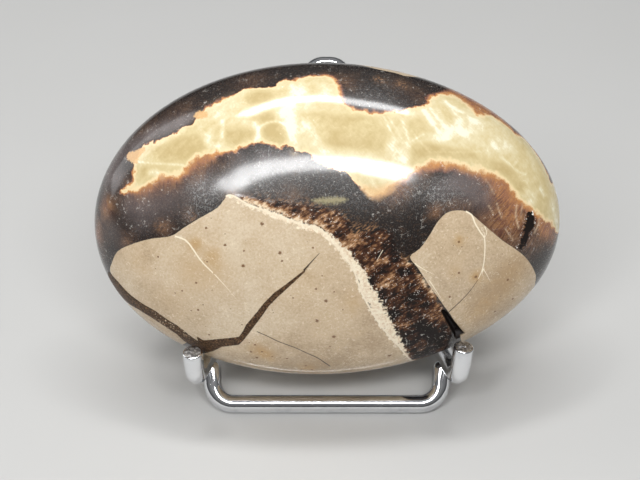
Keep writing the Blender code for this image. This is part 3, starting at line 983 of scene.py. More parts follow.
class Number:
    """A value that varies over a surface. Sums with it add Math nodes to its material."""

    def __init__(self, graph, socket):
        self.graph = graph
        self.socket = socket

    def math(self, operation, *values):
        """The value of one Math node."""
        return self.graph.number("ShaderNodeMath", {"operation": operation}, dict(enumerate(values)))

    def __add__(self, other):
        return self.math("ADD", self, other)

    __radd__ = __add__

    def __mul__(self, other):
        return self.math("MULTIPLY", self, other)

    __rmul__ = __mul__

    def __sub__(self, other):
        return self.math("SUBTRACT", self, other)

    def __rsub__(self, other):
        return self.math("SUBTRACT", other, self)

    def __truediv__(self, other):
        return self.math("DIVIDE", self, other)

    def __neg__(self):
        return self.math("MULTIPLY", self, -1.0)

    def __abs__(self):
        return self.math("ABSOLUTE", self)

    @property
    def sway(self):
        """How far noise lies above or below its middle."""
        return self - NOISE_MIDDLE

    def most(self, other):
        """The greater of two values."""
        return self.math("MAXIMUM", self, other)

    def least(self, other):
        """The lesser of two values."""
        return self.math("MINIMUM", self, other)

    def step(self, low, high):
        """0 below low, 1 above high, and smooth between."""
        settings = {"interpolation_type": "SMOOTHSTEP"}
        inputs = {"Value": self, "From Min": low, "From Max": high}
        return self.graph.number("ShaderNodeMapRange", settings, inputs)

    def inside(self, blur):
        """1 inside an outline and 0 outside it, blurred by some millimetres to each side."""
        return self.step(-blur, blur)


class Graph:
    """A tree of shader nodes."""

    def __init__(self, tree):
        self.tree = tree
        self.tree.nodes.clear()

    def node(self, kind, settings=(), inputs=()):
        """Adds a node, makes its settings, then sets or links its sockets."""
        made = self.tree.nodes.new(kind)
        for name, value in dict(settings).items():
            if name == "stops":
                self.set_stops(made.color_ramp, value)
            else:
                setattr(made, name, value)
        for name, value in dict(inputs).items():
            socket = made.inputs[name]
            if isinstance(value, Number):
                value = value.socket
            if isinstance(value, bpy.types.NodeSocket):
                self.tree.links.new(value, socket)
            elif socket.type == "RGBA":
                socket.default_value = (*value, 1.0)
            else:
                socket.default_value = value
        return made

    @staticmethod
    def set_stops(ramp, stops):
        """Gives a colour ramp its places and colours."""
        while len(ramp.elements) < len(stops):
            ramp.elements.new(1.0)
        for element, (place, colour) in zip(ramp.elements, stops):
            element.position = place
            element.color = (*colour, 1.0)

    def number(self, kind, settings, inputs, output=0):
        """A varying value from one output of a node."""
        return Number(self, self.node(kind, settings, inputs).outputs[output])

    def mix(self, factor, first, second):
        """A colour between two colours."""
        settings = {"data_type": "RGBA", "clamp_factor": True}
        made = self.node("ShaderNodeMix", settings, {"Factor": factor, 6: first, 7: second})
        return made.outputs[2]

    def ramp(self, factor, stops):
        """A colour from a ramp."""
        return self.node("ShaderNodeValToRGB", {"stops": stops}, {"Fac": factor}).outputs["Color"]


class Finish(Graph):
    """The nodes of one material, with the few patterns that the finishes need.

    Places and sizes are in millimetres, from a middle and along axes that are tipped by a turn.
    """

    # how far scallops are pushed about, in shares of their size
    SCALLOP_SHIFT = 0.4
    # how crumbs are pushed about, how sharply they are chosen, and where their soft edge begins
    CRUMB_SHIFT = 0.3
    CRUMB_CHOICE = 0.03
    CRUMB_CORE = 0.55
    # the size of the gaps between strokes, how thick they are, and which of the noise keeps them
    STROKE_GAP = 0.7
    STROKE_THICKNESS = 0.03
    STROKE_KEPT = (0.56, 0.6)
    STROKE_SHARE = 0.2

    def __init__(self, name, middle=(0.0, 0.0, 0.0), turn=0.0):
        self.material = bpy.data.materials.new(name)
        self.material.use_nodes = True
        super().__init__(self.material.node_tree)
        place = self.node("ShaderNodeTexCoord").outputs["Object"]
        place = self.vector("SUBTRACT", self.vector("SCALE", place, Scale=1 / MM), tuple(middle))
        inputs = {"Vector": place, "Rotation": (-turn, 0.0, 0.0)}
        self.place = self.node("ShaderNodeMapping", {}, inputs).outputs[0]
        self.shaken = None

    def vector(self, operation, *values, **inputs):
        """The vector of one Vector Math node."""
        inputs = {**dict(enumerate(values)), **inputs}
        return self.node("ShaderNodeVectorMath", {"operation": operation}, inputs).outputs["Vector"]

    def mark(self, name):
        """One of the measures that the stone's vertices carry."""
        return self.number("ShaderNodeAttribute", {"attribute_name": name}, {}, "Fac")

    def noise(self, size, detail=2.0, roughness=0.5, place=None):
        """Soft noise about its middle whose lumps are about size across."""
        place = place or self.place
        inputs = {"Vector": place, "Scale": 1 / size, "Detail": detail, "Roughness": roughness}
        return self.number("ShaderNodeTexNoise", {}, inputs)

    def noise_shift(self, size, amount):
        """The surface's place, shifted by noise of one size by about an amount."""
        inputs = {"Vector": self.place, "Scale": 1 / size, "Detail": 1.0}
        colour = self.node("ShaderNodeTexNoise", {}, inputs).outputs["Color"]
        shift = self.vector("SUBTRACT", colour, [NOISE_MIDDLE] * 3)
        return self.vector("ADD", self.place, self.vector("SCALE", shift, Scale=amount))

    def scallops(self, size):
        """Rounded lumps of one size: distance from their middles in shares of that size."""
        place = self.noise_shift(size, size * self.SCALLOP_SHIFT)
        return self.number("ShaderNodeTexVoronoi", {}, {"Vector": place, "Scale": 1 / size}, "Distance")

    def crumbs(self, size, share, radius):
        """A mask of small ragged grains in a share of the cells of one size."""
        self.shaken = self.shaken or self.noise_shift(self.CRUMB_SHIFT, self.CRUMB_SHIFT)
        cells = self.node("ShaderNodeTexVoronoi", {}, {"Vector": self.shaken, "Scale": 1 / size})
        lot = self.number("ShaderNodeSeparateColor", {}, {0: cells.outputs["Color"]})
        chosen = lot.step(1.0 - share, 1.0 - share + self.CRUMB_CHOICE)
        outside = Number(self, cells.outputs["Distance"]).step(radius * self.CRUMB_CORE, radius)
        return chosen * (1.0 - outside)

    def hairs(self, size, thickness):
        """A mask of thin curling lines that wander over lumps of one size."""
        return 1.0 - abs(self.noise(size, detail=1.0).sway).step(0.0, thickness)

    def strokes(self, size, share):
        """A mask of short curling strokes in a share of the surface."""
        low, high = (level - share * self.STROKE_SHARE for level in self.STROKE_KEPT)
        kept = self.noise(size * self.STROKE_GAP, detail=1.0).step(low, high)
        return self.hairs(size, self.STROKE_THICKNESS) * kept

    def run(self, turn, length):
        """The place drawn out along one way across the face, for grain that runs that way."""
        settings = {"vector_type": "TEXTURE"}
        inputs = {"Vector": self.place, "Rotation": (0.0, 0.0, turn), "Scale": (length, 1.0, 1.0)}
        return self.node("ShaderNodeMapping", settings, inputs).outputs[0]

    def crystals(self, size, detail=2.0, roughness=0.7, length=2.6):
        """Noise drawn out along the way that the sugary crystals grow."""
        return self.noise(size, detail, roughness, self.run(CRYSTAL_TURN, length))

    def bump(self, height, distance):
        """The normal of a fine relief, where a height of 1 stands a distance in metres proud."""
        inputs = {"Strength": 1.0, "Distance": distance, "Height": height}
        return self.node("ShaderNodeBump", {}, inputs).outputs["Normal"]

    def shader(self, inputs):
        """A Principled shader with some of its sockets set or linked."""
        return self.node("ShaderNodeBsdfPrincipled", {}, inputs).outputs["BSDF"]

    def finish(self, surface):
        """Joins a shader to the output."""
        self.node("ShaderNodeOutputMaterial", {}, {"Surface": surface})
        return self.material


def limestone_colour(graph, settings, specks):
    """Warm grey-beige, softly mottled, with ochre stains, rusty freckles and a fine pale grain."""
    broad = graph.noise(size=8.0)
    blotch = graph.noise(size=2.4, detail=3.0, roughness=0.6)
    grain = graph.noise(size=0.34, roughness=0.7)
    # the tone is lowered by the shade patches: partly the plates' own tone, partly painted shade towards
    # the stone's lower edge
    tone = 0.55 + broad.sway * 0.9 + blotch.sway * 0.8 + grain.sway - graph.mark("shade") * 0.5
    stops = [(0.0, settings.limestone_dark), (0.5, settings.limestone), (0.95, settings.limestone_pale)]
    colour = graph.ramp(tone, stops)
    stain = graph.mark("stain") * (0.25 + blotch * 1.4) + blotch.step(0.54, 0.78) * 0.16
    colour = graph.mix(stain.least(0.8), colour, settings.ochre)
    flecks = graph.hairs(size=1.1, thickness=0.012) * broad.step(0.5, 0.6) * 0.5
    flecks = flecks.most(graph.crumbs(size=0.8, share=0.12, radius=0.14) * 0.5)
    flecks = flecks.most(graph.strokes(size=0.9, share=0.1) * 0.4)
    colour = graph.mix(flecks, colour, settings.rim_cream)
    dust = graph.crumbs(size=0.7, share=0.3, radius=0.2) * blotch.step(0.45, 0.6)
    colour = graph.mix(dust * 0.5, colour, settings.ochre)
    freckles = graph.crumbs(size=1.3, share=0.3, radius=0.1)
    colour = graph.mix(freckles * 0.65, colour, settings.rust)

    # the nearest speck, in shares of its radius, or noise alone where all are further off
    ragged = graph.noise(size=0.2, detail=1.0)
    nearest = ragged * 10.0
    for place, radius in specks:
        ends = {0: graph.place, 1: place}
        gap = graph.number("ShaderNodeVectorMath", {"operation": "DISTANCE"}, ends, "Value")
        nearest = nearest.least(gap * (1 / radius))
    rusty = 1.0 - (nearest + ragged.sway * 1.4).step(0.55, 1.25)
    return graph.mix(rusty * 0.9, colour, settings.rust)


def calcite_colour(graph, settings, edge):
    """Clear honey cells in cloudy cream, with bright veils and faint cleavage streaks."""
    along_wisps = graph.run(WISP_TURN, length=2.0)
    along_cleavage = graph.run(CLEAVAGE_TURN, length=6.0)
    cloud = graph.noise(size=3.6, detail=3.0, roughness=0.6)
    wisps = graph.noise(size=1.1, detail=3.0, roughness=0.65, place=along_wisps)
    cleavage = graph.noise(size=0.3, detail=1.0, roughness=0.6, place=along_cleavage)
    inside = (graph.mark("cell") + wisps.sway * 2.4).step(-0.3, 0.5)
    veil = graph.mark("veil") * (0.35 + (wisps + cleavage) * 0.65)
    margin = 1.0 - edge.step(0.05, 0.7)
    pale = 0.5 + cloud.sway * 0.9 + wisps.sway * 0.75 + cleavage.sway * 0.25
    pale = pale - inside * 0.26 + veil * 0.5 + margin * 0.12 - graph.mark("deep") * 0.35
    threads = graph.hairs(size=1.6, thickness=0.014) * cloud.step(0.46, 0.6)
    # the sparse white crumbs are painted glints
    pale = pale + threads * 0.18 + graph.crumbs(size=1.6, share=0.25, radius=0.1) * 0.4
    stops = [
        (0.0, settings.calcite_deep),
        (0.42, settings.calcite),
        (0.75, settings.calcite_pale),
        (1.0, settings.calcite_white),
    ]
    colour = graph.ramp(pale, stops)
    lip = 1.0 - edge.step(0.0, 0.6)
    return graph.mix(lip * 0.9, colour, settings.fringe_cream)


def crust_colour(graph, settings, edge):
    """Near-black crust that turns brown, orange and cream in fine fibres towards the calcite."""
    along = graph.mark("calcite_along")
    out = -edge
    wide = graph.node("ShaderNodeCombineXYZ", {}, {"X": along * 1.3, "Y": out * 0.3}).outputs[0]
    fine = graph.node("ShaderNodeCombineXYZ", {}, {"X": along * 4.5, "Y": out * 0.5}).outputs[0]
    fibres = graph.noise(size=1.0, roughness=0.6, place=wide)
    threads = graph.noise(size=1.0, roughness=0.6, place=fine)
    cloud = graph.noise(size=2.0, detail=3.0, roughness=0.65)
    mottle = graph.noise(size=0.3, roughness=0.7)
    warm = (threads * 0.6 + cloud * 0.4).step(0.4, 0.62)
    earth = graph.mix(warm, settings.aragonite_brown, settings.aragonite_tan)
    brown = graph.mark("brown") * (0.1 + cloud * 0.8 + threads * 0.7) + cloud.step(0.56, 0.8) * 0.18
    colour = graph.mix(brown.least(0.85), settings.aragonite, earth)

    # the fringe runs out from the calcite's edge, and its fibres end raggedly
    width = (0.22 + graph.mark("fringe")) * (0.25 + fibres + threads * 0.5)
    depth = out / width
    stops = [
        (0.0, settings.fringe_cream),
        (0.2, settings.fringe_orange),
        (0.6, settings.fringe_brown),
        (1.0, settings.aragonite_brown),
    ]
    in_fringe = 1.0 - depth.step(0.4, 1.2)
    colour = graph.mix(in_fringe, colour, graph.ramp(depth + threads.sway * 0.35, stops))

    # cloudy, clear and silky places, away from the calcite; the cloudy grey is partly painted sheen
    further = 1.0 - edge.step(-0.7, -0.1)
    milk = graph.mark("milk") * (0.45 + cloud * 0.8 + mottle.sway * 0.8) * further
    colour = graph.mix(milk.least(0.85), colour, settings.milky_and_sheen)
    amber = graph.mark("amber") * (0.5 + threads * 0.5 + mottle.sway * 1.1) * further
    glow = graph.mix(warm, settings.fringe_brown, settings.amber)
    colour = graph.mix(amber.least(0.95), colour, glow)
    colour = graph.mix(mottle.step(0.5, 0.75) * 0.25, colour, settings.aragonite_tan)
    silk = graph.mark("veil") * threads * further
    colour = graph.mix(silk.least(0.9), colour, settings.vein_pale)

    # needles in painted grey sheen, golden streaks and small painted glints
    hairs = graph.hairs(size=0.9, thickness=0.02).most(graph.hairs(size=0.5, thickness=0.03) * 0.7)
    colour = graph.mix((hairs * graph.mark("fuzz")).least(0.7), colour, settings.needle_sheen)
    streaks = graph.crystals(size=0.3).step(0.47, 0.62)
    colour = graph.mix(streaks * graph.mark("gold").least(1.0), colour, settings.vein_gold)
    glints = graph.crumbs(size=0.75, share=0.1, radius=0.16) * cloud.step(0.5, 0.56) * 0.8
    glints = glints.most(graph.strokes(size=0.8, share=0.2) * cloud.step(0.5, 0.58) * 0.32)
    return graph.mix(glints, colour, settings.painted_glint)


def vein_colour(graph, settings, plate):
    """Sugary crystals: golden against the cream rim, brown and near-black further off."""
    grain = graph.crystals(size=0.4)
    clump = graph.crystals(size=2.0, detail=3.0, roughness=0.6, length=1.6)
    near = 1.0 - (-plate).step(0.2, 1.7)
    level = 0.13 + grain.sway * 1.2 + clump.sway * 1.9 + near * 0.42 + graph.mark("gold") * 0.32
    stops = [
        (0.08, settings.aragonite),
        (0.38, settings.vein_brown),
        (0.66, settings.vein_gold),
        (0.94, settings.vein_pale),
    ]
    colour = graph.ramp(level, stops)
    # the white crumbs and strokes are painted glints
    glints = graph.crumbs(size=0.5, share=0.12, radius=0.24).most(graph.strokes(size=0.6, share=0.4))
    return graph.mix(glints * grain.step(0.48, 0.58) * 0.8, colour, settings.painted_glint)


def crack_colour(graph, settings):
    """Brown filling with a grain of its own and a few pale crumbs."""
    grain = graph.noise(size=0.3, roughness=0.7)
    stops = [(0.3, settings.crack_dark), (0.55, settings.crack_brown), (0.8, settings.vein_gold)]
    colour = graph.ramp(grain, stops)
    # the pale crumbs are painted sparkle on the crack's crystals
    crumbs = graph.crumbs(size=0.4, share=0.7, radius=0.5) * graph.mark("gold")
    return graph.mix(crumbs.least(0.9), colour, settings.vein_pale)


def rim_colour(graph, settings, plate):
    """Cream rind of the left plate, brightest in a line along the plate's edge."""
    mottle = graph.noise(size=0.45, detail=3.0, roughness=0.7).step(0.35, 0.62)
    bright = 1.0 - abs(plate + 0.12).step(0.12, 0.45)
    return graph.mix(mottle.most(bright * 0.7), settings.rim_tan, settings.rim_cream)


def fine_lines(graph, name, ragged, blur):
    """A mask of the pale or the dark lines, which are as wide as their measure says."""
    inside = graph.mark(name + "_width") - abs(graph.mark(name + "_across"))
    low, high = blur
    return (inside + ragged).step(low, high)


def stone_material(settings, specks):
    """All of the stone's markings in one material, laid over each other from the crust up."""
    graph = Finish("polished_septarian", STONE_MIDDLE, math.pi / 2 - settings.lean)
    ragged = graph.noise(size=0.32, roughness=0.65).sway
    pits = graph.noise(size=0.2, roughness=0.7)
    lumps = (graph.scallops(size=1.2) - 0.45) * 0.8 + (graph.scallops(size=0.45) - 0.4) * 0.3

    # each outline's signed distance in millimetres, made ragged in its own way
    edge = graph.mark("calcite") + lumps + ragged * 0.25
    plate = graph.mark("limestone") + ragged * 0.12
    rim = graph.mark("rim") + ragged * 1.3 + graph.noise(size=0.9, detail=1.0).sway * 1.8
    vein = graph.mark("vein") + ragged * 0.8 + graph.noise(size=1.2).sway * 1.6
    crack = graph.mark("crack") + ragged * 0.14
    orange = graph.mark("orange") + lumps * 0.4 + ragged * 0.9
    cavity = graph.mark("cavity") + ragged * 1.3 + graph.noise(size=0.8, detail=1.0).sway * 1.4
    lens = graph.mark("lens") + ragged * 1.2

    # masks of the places where each marking lies
    fade = graph.mark("fade")
    in_calcite = edge.step(-0.03 - fade, 0.05 + fade)
    in_orange = orange.step(-0.1 - fade, 0.25 + fade)
    in_plate = plate.inside(blur=0.04)
    in_vein = vein.inside(blur=0.25)
    in_crack = crack.inside(blur=0.05)
    in_slot = graph.mark("slot").step(-0.05, 0.1)
    in_cavity = cavity.step(0.08, 0.2)
    seam = (plate + 0.3).inside(blur=0.1) * graph.mark("rim").step(-0.7, -0.4) * (1.0 - in_plate)
    in_rim = rim.step(-0.15, 0.2).most(seam)

    colour = crust_colour(graph, settings, edge)
    colour = graph.mix(in_vein, colour, vein_colour(graph, settings, plate))
    colour = graph.mix(lens.step(-0.2, 0.5) * 0.75, colour, settings.lens)
    # the cavity is painted near-black: painted shade of a hollow that the surface doesn't cut
    colour = graph.mix(in_cavity, colour, settings.aragonite)
    # painted glints in the cavity, together with its real pale lining
    lining = (1.0 - abs(cavity).step(0.05, 0.22)) * ragged.step(0.04, 0.14)
    glints_and_lining = graph.crumbs(size=0.5, share=0.12, radius=0.45).most(lining * 0.3)
    colour = graph.mix(glints_and_lining * cavity.step(-0.3, -0.1), colour, settings.painted_glint)
    colour = graph.mix(in_calcite, colour, calcite_colour(graph, settings, edge))
    blush = graph.mix(pits.step(0.42, 0.62) * 0.45, settings.orange, settings.fringe_orange)
    colour = graph.mix(in_orange * 0.9, colour, blush)
    colour = graph.mix(in_plate, colour, limestone_colour(graph, settings, specks))
    colour = graph.mix(in_rim, colour, rim_colour(graph, settings, plate))
    pale_lines = fine_lines(graph, "pale", ragged * 0.08, blur=(-0.06, 0.05))
    colour = graph.mix(pale_lines, colour, settings.rim_cream)
    colour = graph.mix(in_crack, colour, crack_colour(graph, settings))
    dark_lines = fine_lines(graph, "dark", ragged * 0.05, blur=(-0.05, 0.04))
    colour = graph.mix(dark_lines, colour, settings.crack_dark)
    # the slot is painted near-black: partly the dark aragonite lining it, partly painted shade in the
    # hollow, over its real depth
    colour = graph.mix(in_slot, colour, settings.aragonite)

    # the relief is finer than a tenth of a millimetre, deepest in the sugary vein and the cracks
    flat_plate = graph.mark("limestone").inside(blur=0.05)
    crust = 1.0 - flat_plate.most(graph.mark("calcite").step(-0.3, 0.1))
    sugary = graph.mark("vein").inside(blur=0.4) * (1.0 - flat_plate)
    coarse = sugary.most(graph.mark("crack").inside(blur=0.1))
    height = crust * pits * 0.012 + coarse * graph.noise(size=0.3, roughness=0.7) * 0.3
    height = height + graph.noise(size=3.5, detail=1.0) * 0.1 + pits * 0.004
    normal = graph.bump(height, settings.relief)
    polished = {
        "Base Color": colour,
        "Roughness": settings.polish + crust * pits.step(0.57, 0.63) * 0.2,
        "IOR": settings.gloss,
        "Coat Weight": settings.sheen + crust * (0.08 + pits * 0.3 + graph.mark("fuzz") * 0.8),
        "Coat Roughness": settings.haze,
        "Normal": normal,
    }
    coarse_crystals = {
        "Base Color": colour,
        "Roughness": settings.coarse_gloss,
        "Specular IOR Level": settings.crystal_shine,
        "Normal": normal,
    }
    dull = in_crack.most(in_slot).most(in_cavity).most(in_vein * (1.0 - in_plate.most(in_rim)))
    shaders = {0: dull, 1: graph.shader(polished), 2: graph.shader(coarse_crystals)}
    return graph.finish(graph.node("ShaderNodeMixShader", {}, shaders).outputs[0])


def chrome_material(settings):
    """Bright plating with faint drawing marks, duller where it is handled, and dark on the sawn ends: bare
    steel whose darkness is partly a painted dark reflection.
    """
    graph = Finish("chrome_wire")
    haze = graph.noise(size=2.2, detail=3.0, roughness=0.6)
    grain = graph.noise(size=0.12, roughness=0.6)
    cut = graph.mark("cut")
    colour = graph.mix(haze.step(0.45, 0.75), settings.chrome, settings.chrome_dull)
    cut_darkening = cut * graph.noise(size=0.5).step(0.35, 0.6)
    colour = graph.mix(cut_darkening * 0.8, colour, settings.cut_steel_and_reflection)
    height = grain * 0.06 + cut * graph.noise(size=0.35, detail=3.0) * 1.5
    inputs = {
        "Base Color": colour,
        "Metallic": 1.0,
        "Roughness": settings.polish + haze.step(0.5, 0.8) * 0.07 + grain * 0.03 + cut * 0.25,
        "Normal": graph.bump(height, settings.relief),
    }
    return graph.finish(graph.shader(inputs))


def floor_material(settings):
    """Plain pale stone-dust grey, hardly mottled."""
    graph = Finish("plain_floor")
    mottle = graph.noise(size=FLOOR_MOTTLE, detail=3.0)
    darker = [FLOOR_SHADE * part for part in settings.floor]
    colour = graph.mix(mottle, darker, settings.floor)
    return graph.finish(graph.shader({"Base Color": colour, "Roughness": FLOOR_ROUGHNESS}))


def length(name, description, default, low=0.0, high=0.1):
    """A length that a user can change, in metres."""
    return bpy.props.FloatProperty(
        name=name, description=description, default=default, min=low, max=high, unit="LENGTH", precision=5
    )


def angle(name, description, default, low, high):
    """An angle that a user can change, from degrees."""
    return bpy.props.FloatProperty(
        name=name,
        description=description,
        default=math.radians(default),
        min=math.radians(low),
        max=math.radians(high),
        subtype="ANGLE",
    )


def factor(name, description, default, low=0.0, high=1.0):
    """A share or a roughness that a user can change."""
    return bpy.props.FloatProperty(
        name=name, description=description, default=default, min=low, max=high, subtype="FACTOR"
    )


def plain(name, description, default, low=0.0, high=1000.0):
    """A number without a unit that a user can change."""
    return bpy.props.FloatProperty(name=name, description=description, default=default, min=low, max=high)


def count(name, description, default, low, high):
    """A whole number that a user can change."""
    return bpy.props.IntProperty(name=name, description=description, default=default, min=low, max=high)


def tint(name, description, default):
    """A colour that a user can change."""
    return bpy.props.FloatVectorProperty(
        name=name, description=description, subtype="COLOR", size=3, min=0.0, max=1.0, default=default
    )


class StoneSettings(bpy.types.PropertyGroup):
    """The stone's size, fineness and colours."""

    size: bpy.props.FloatVectorProperty(
        name="Size",
        description="The stone's own width, height and thickness",
        default=(0.074, 0.0501, 0.030),
        size=3,
        min=0.01,
        max=0.3,
        unit="LENGTH",
        precision=4,
    )
    lean: angle("Lean", "How far the face leans back from upright", 27.0, 0.0, 60.0)
    slot_length: length("Slot length", "Length of the small open slot", 0.0064)
    slot_depth: length("Slot depth", "Depth of the small open slot", 0.00125, high=0.003)
    frequency: count("Fineness", "Cuts along each edge of the sphere's twenty faces", 96, 8, 99)
    front_share: factor("Front share", "How much more finely the face is cut than the back", 0.3, high=0.5)
    polish: factor("Polish", "Roughness of the polished face", 0.11, low=0.02)
    gloss: plain("Gloss", "Index of refraction of the polished face", 1.58, low=1.0, high=2.5)
    coarse_gloss: factor("Coarse gloss", "Roughness of the sugary vein and the cracks", 0.4, low=0.02)
    haze: factor("Haze", "Roughness of the soft sheen round the reflections", 0.42, low=0.1)
    sheen: factor("Sheen", "Weight of the soft sheen where the stone is cleanest", 0.15)
    crystal_shine: factor("Crystal shine", "Specular level of the sugary vein and the cracks", 0.16)
    relief: length("Relief", "Depth of the bump where its height is 1", 0.0002, high=0.001)
    limestone: tint("Limestone", "Main tone of the limestone plates", (0.598, 0.461, 0.307))
    limestone_pale: tint("Pale limestone", "Lightest tone of the plates", (0.714, 0.598, 0.44))
    limestone_dark: tint("Dark limestone", "Darkest grain of the plates", (0.415, 0.299, 0.183))
    ochre: tint("Ochre", "Stains on the plates", (0.498, 0.307, 0.124))
    rust: tint("Rust", "Small specks in the plates", (0.17, 0.075, 0.03))
    calcite_deep: tint("Deep calcite", "Clear honey-coloured calcite", (0.557, 0.426, 0.2))
    calcite: tint("Calcite", "Main tone of the calcite", (0.696, 0.574, 0.313))
    calcite_pale: tint("Pale calcite", "Cloudy places in the calcite", (0.783, 0.687, 0.435))
    # the white calcite tone also serves for the painted glints and reflection that some veils lay in
    calcite_white: tint("White calcite", "Brightest veils of the calcite", (0.93, 0.883, 0.688))
    fringe_cream: tint("Cream fringe", "Edge of the calcite", (0.88, 0.695, 0.405))
    fringe_orange: tint("Orange fringe", "Crust next to the calcite", (0.63, 0.288, 0.09))
    orange: tint("Orange crust", "Small crusts of clear orange", (0.774, 0.493, 0.229))
    fringe_brown: tint("Brown fringe", "Crust a little further out", (0.26, 0.115, 0.075))
    aragonite_tan: tint("Tan aragonite", "Palest fibres in the dark crust", (0.23, 0.128, 0.072))
    aragonite_brown: tint("Brown aragonite", "Warm places in the dark crust", (0.08, 0.032, 0.02))
    aragonite: tint("Dark aragonite", "The near-black crust", (0.012, 0.0085, 0.0075))
    # the needles' grey is painted sheen near the reflections
    needle_sheen: tint("Hair", "Fine grey needles in the dark crust", (0.30, 0.30, 0.29))
    # painted glints: white specks standing for light flashing off small crystal faces
    painted_glint: tint("Glint", "Tiny bright crystals in the dark crust", (1.0, 0.96, 0.88))
    # the milky tone is partly painted sheen of the soft reflections
    milky_and_sheen: tint("Milky crust", "Cloudy grey places in the dark crust", (0.15, 0.125, 0.122))
    amber: tint("Amber crust", "Clear orange-brown places in the dark crust", (0.468, 0.216, 0.081))
    lens: tint("Lens", "Clear yellow-green lens in the crust", (0.40, 0.35, 0.19))
    vein_brown: tint("Vein brown", "Dark tone of the sugary vein", (0.075, 0.03, 0.015))
    vein_gold: tint("Vein gold", "Golden grains of the sugary vein", (0.36, 0.19, 0.09))
    vein_pale: tint("Vein pale", "Palest grains of the sugary vein", (0.80, 0.62, 0.42))
    rim_cream: tint("Rim cream", "Cream rim of the left plate", (0.9296, 0.8277, 0.6418))
    rim_tan: tint("Rim tan", "Darker places in the cream rim", (0.7437, 0.5667, 0.3808))
    crack_dark: tint("Dark crack", "Darkest filling of the cracks", (0.021, 0.011, 0.006))
    crack_brown: tint("Crack brown", "Brown filling of the cracks", (0.086, 0.047, 0.024))


class StandSettings(bpy.types.PropertyGroup):
    """The wires' sizes, fineness and colour."""

    back_radius: length("Back wire", "Radius of the back wire", 0.0016, high=0.005)
    foot_radius: length("Foot wire", "Radius of the foot wire", 0.0015, high=0.005)
    left_peg: length("Left peg", "Height of the left peg above its hook", 0.0055)
    right_peg: length("Right peg", "Height of the right peg above its hook", 0.0062)
    hook_bend: length("Hook bend", "Bend radius of the hooks under the stone", 0.003, high=0.02)
    rear_bend: length("Rear bend", "Bend radius where the back wire turns up", 0.004, high=0.02)
    top_bend: length("Top bend", "Bend radius at the top of the back wire", 0.0022, high=0.02)
    foot_bend: length("Foot bend", "Bend radius at the ends of the front bar", 0.0034, high=0.02)
    leg_reach: length("Leg reach", "How far each leg runs on to its weld", 0.002, high=0.0025)
    rim: length("Rim", "Broken edge of a sawn end", 0.00022, high=0.0006)
    saw_marks: length("Saw marks", "Unevenness of a sawn end", 0.0001, high=0.0003)
    sides: count("Sides", "Faces round the wire", 48, 12, 96)
    bend_step: angle("Bend step", "Angle between the rings of a bend", 4.0, 1.0, 30.0)
    wire_fit: factor("Wire fit", "Radius of the wires as a share of the solids' radius", 0.985, low=0.9)
    polish: factor("Polish", "Roughness of the plating where it is cleanest", 0.045)
    relief: length("Relief", "Depth of the bump where its height is 1", 0.0001, high=0.001)
    chrome: tint("Chrome", "Colour of the plating", (0.80, 0.81, 0.83))
    chrome_dull: tint("Dull chrome", "Plating where it is handled", (0.66, 0.67, 0.70))
    # the sawn ends' dark tone is partly a painted dark reflection
    cut_steel_and_reflection: tint("Cut steel", "Bare metal of the sawn ends", (0.16, 0.16, 0.17))


class StageSettings(bpy.types.PropertyGroup):
    """The floor, the lights and the camera."""

    floor: tint("Floor", "Colour of the plain floor", (0.563, 0.563, 0.554))
    strip_power: plain("Strip lights", "Power of the two long lights, in watts for each square metre", 54.0)
    side_power: plain("Side light", "Power of the soft left light, in watts for each square metre", 5.0)
    sky: plain("Surroundings", "Brightness of the pale surroundings", 0.27)
    horizon: tint("Horizon", "Tone of the surroundings at eye level", (0.1, 0.1, 0.105))
    zenith: tint("Zenith", "Tone of the surroundings overhead", (1.0, 1.0, 1.0))


class SEPTARIAN_OT_stone(bpy.types.Operator):
    """Makes the polished stone in place of its plain solid"""

    bl_idname = "septarian.stone"
    bl_label = "Make the stone"

    def execute(self, context):
        settings = context.scene.septarian_stone
        shape = StoneShape(settings)
        surface = StoneSurface(shape, settings.frequency, settings.front_share)
        read_markings(surface)
        sunk, inside = slot_depth(surface, settings.slot_length / MM, settings.slot_depth / MM)
        surface.marks["slot"] = inside
        own = surface.own - surface.normals() * (sunk + SKIN_DEPTH)[:, None]
        stone = smooth_object("polished_stone", own @ shape.axes.T + STONE_MIDDLE, surface.faces)
        for name, values in surface.marks.items():
            attribute = stone.data.attributes.new(name, "FLOAT", "POINT")
            attribute.data.foreach_set("value", values.astype(np.float32))
        places = shape.surface_from_unit(shape.seen_at([(x, y) for x, y, radius in SPECKS]))
        pixel_size = CAMERA_DISTANCE / FOCAL_PIXELS
        specks = [(tuple(place), radius * pixel_size) for place, (_, _, radius) in zip(places, SPECKS)]
        stone.data.materials.append(stone_material(settings, specks))
        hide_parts("septarian_nodule")
        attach(stone, BODY)
        return {"FINISHED"}


class SEPTARIAN_OT_stand(bpy.types.Operator):
    """Makes the two chrome wires in place of their plain solids"""

    bl_idname = "septarian.stand"
    bl_label = "Make the stand"

    def execute(self, context):
        settings = context.scene.septarian_stand
        chrome = chrome_material(settings)
        back_radius = settings.back_radius / MM * settings.wire_fit
        foot_radius = settings.foot_radius / MM * settings.wire_fit
        rim = settings.rim / MM
        saw_marks = settings.saw_marks / MM
        weld = foot_radius * WELD_ROUNDING
        back_path = back_wire_path(settings)
        foot_path = foot_wire_path(settings)
        back = sweep_wire("bent_back_wire", back_path, back_radius, rim, saw_marks, settings.sides)
        foot = sweep_wire("bent_foot_wire", foot_path, foot_radius, weld, 0.0, settings.sides)
        for wire, node in ((back, "back_wire"), (foot, "foot_wire")):
            wire.data.materials.append(chrome)
            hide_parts(node)
            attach(wire, BODY)
        return {"FINISHED"}


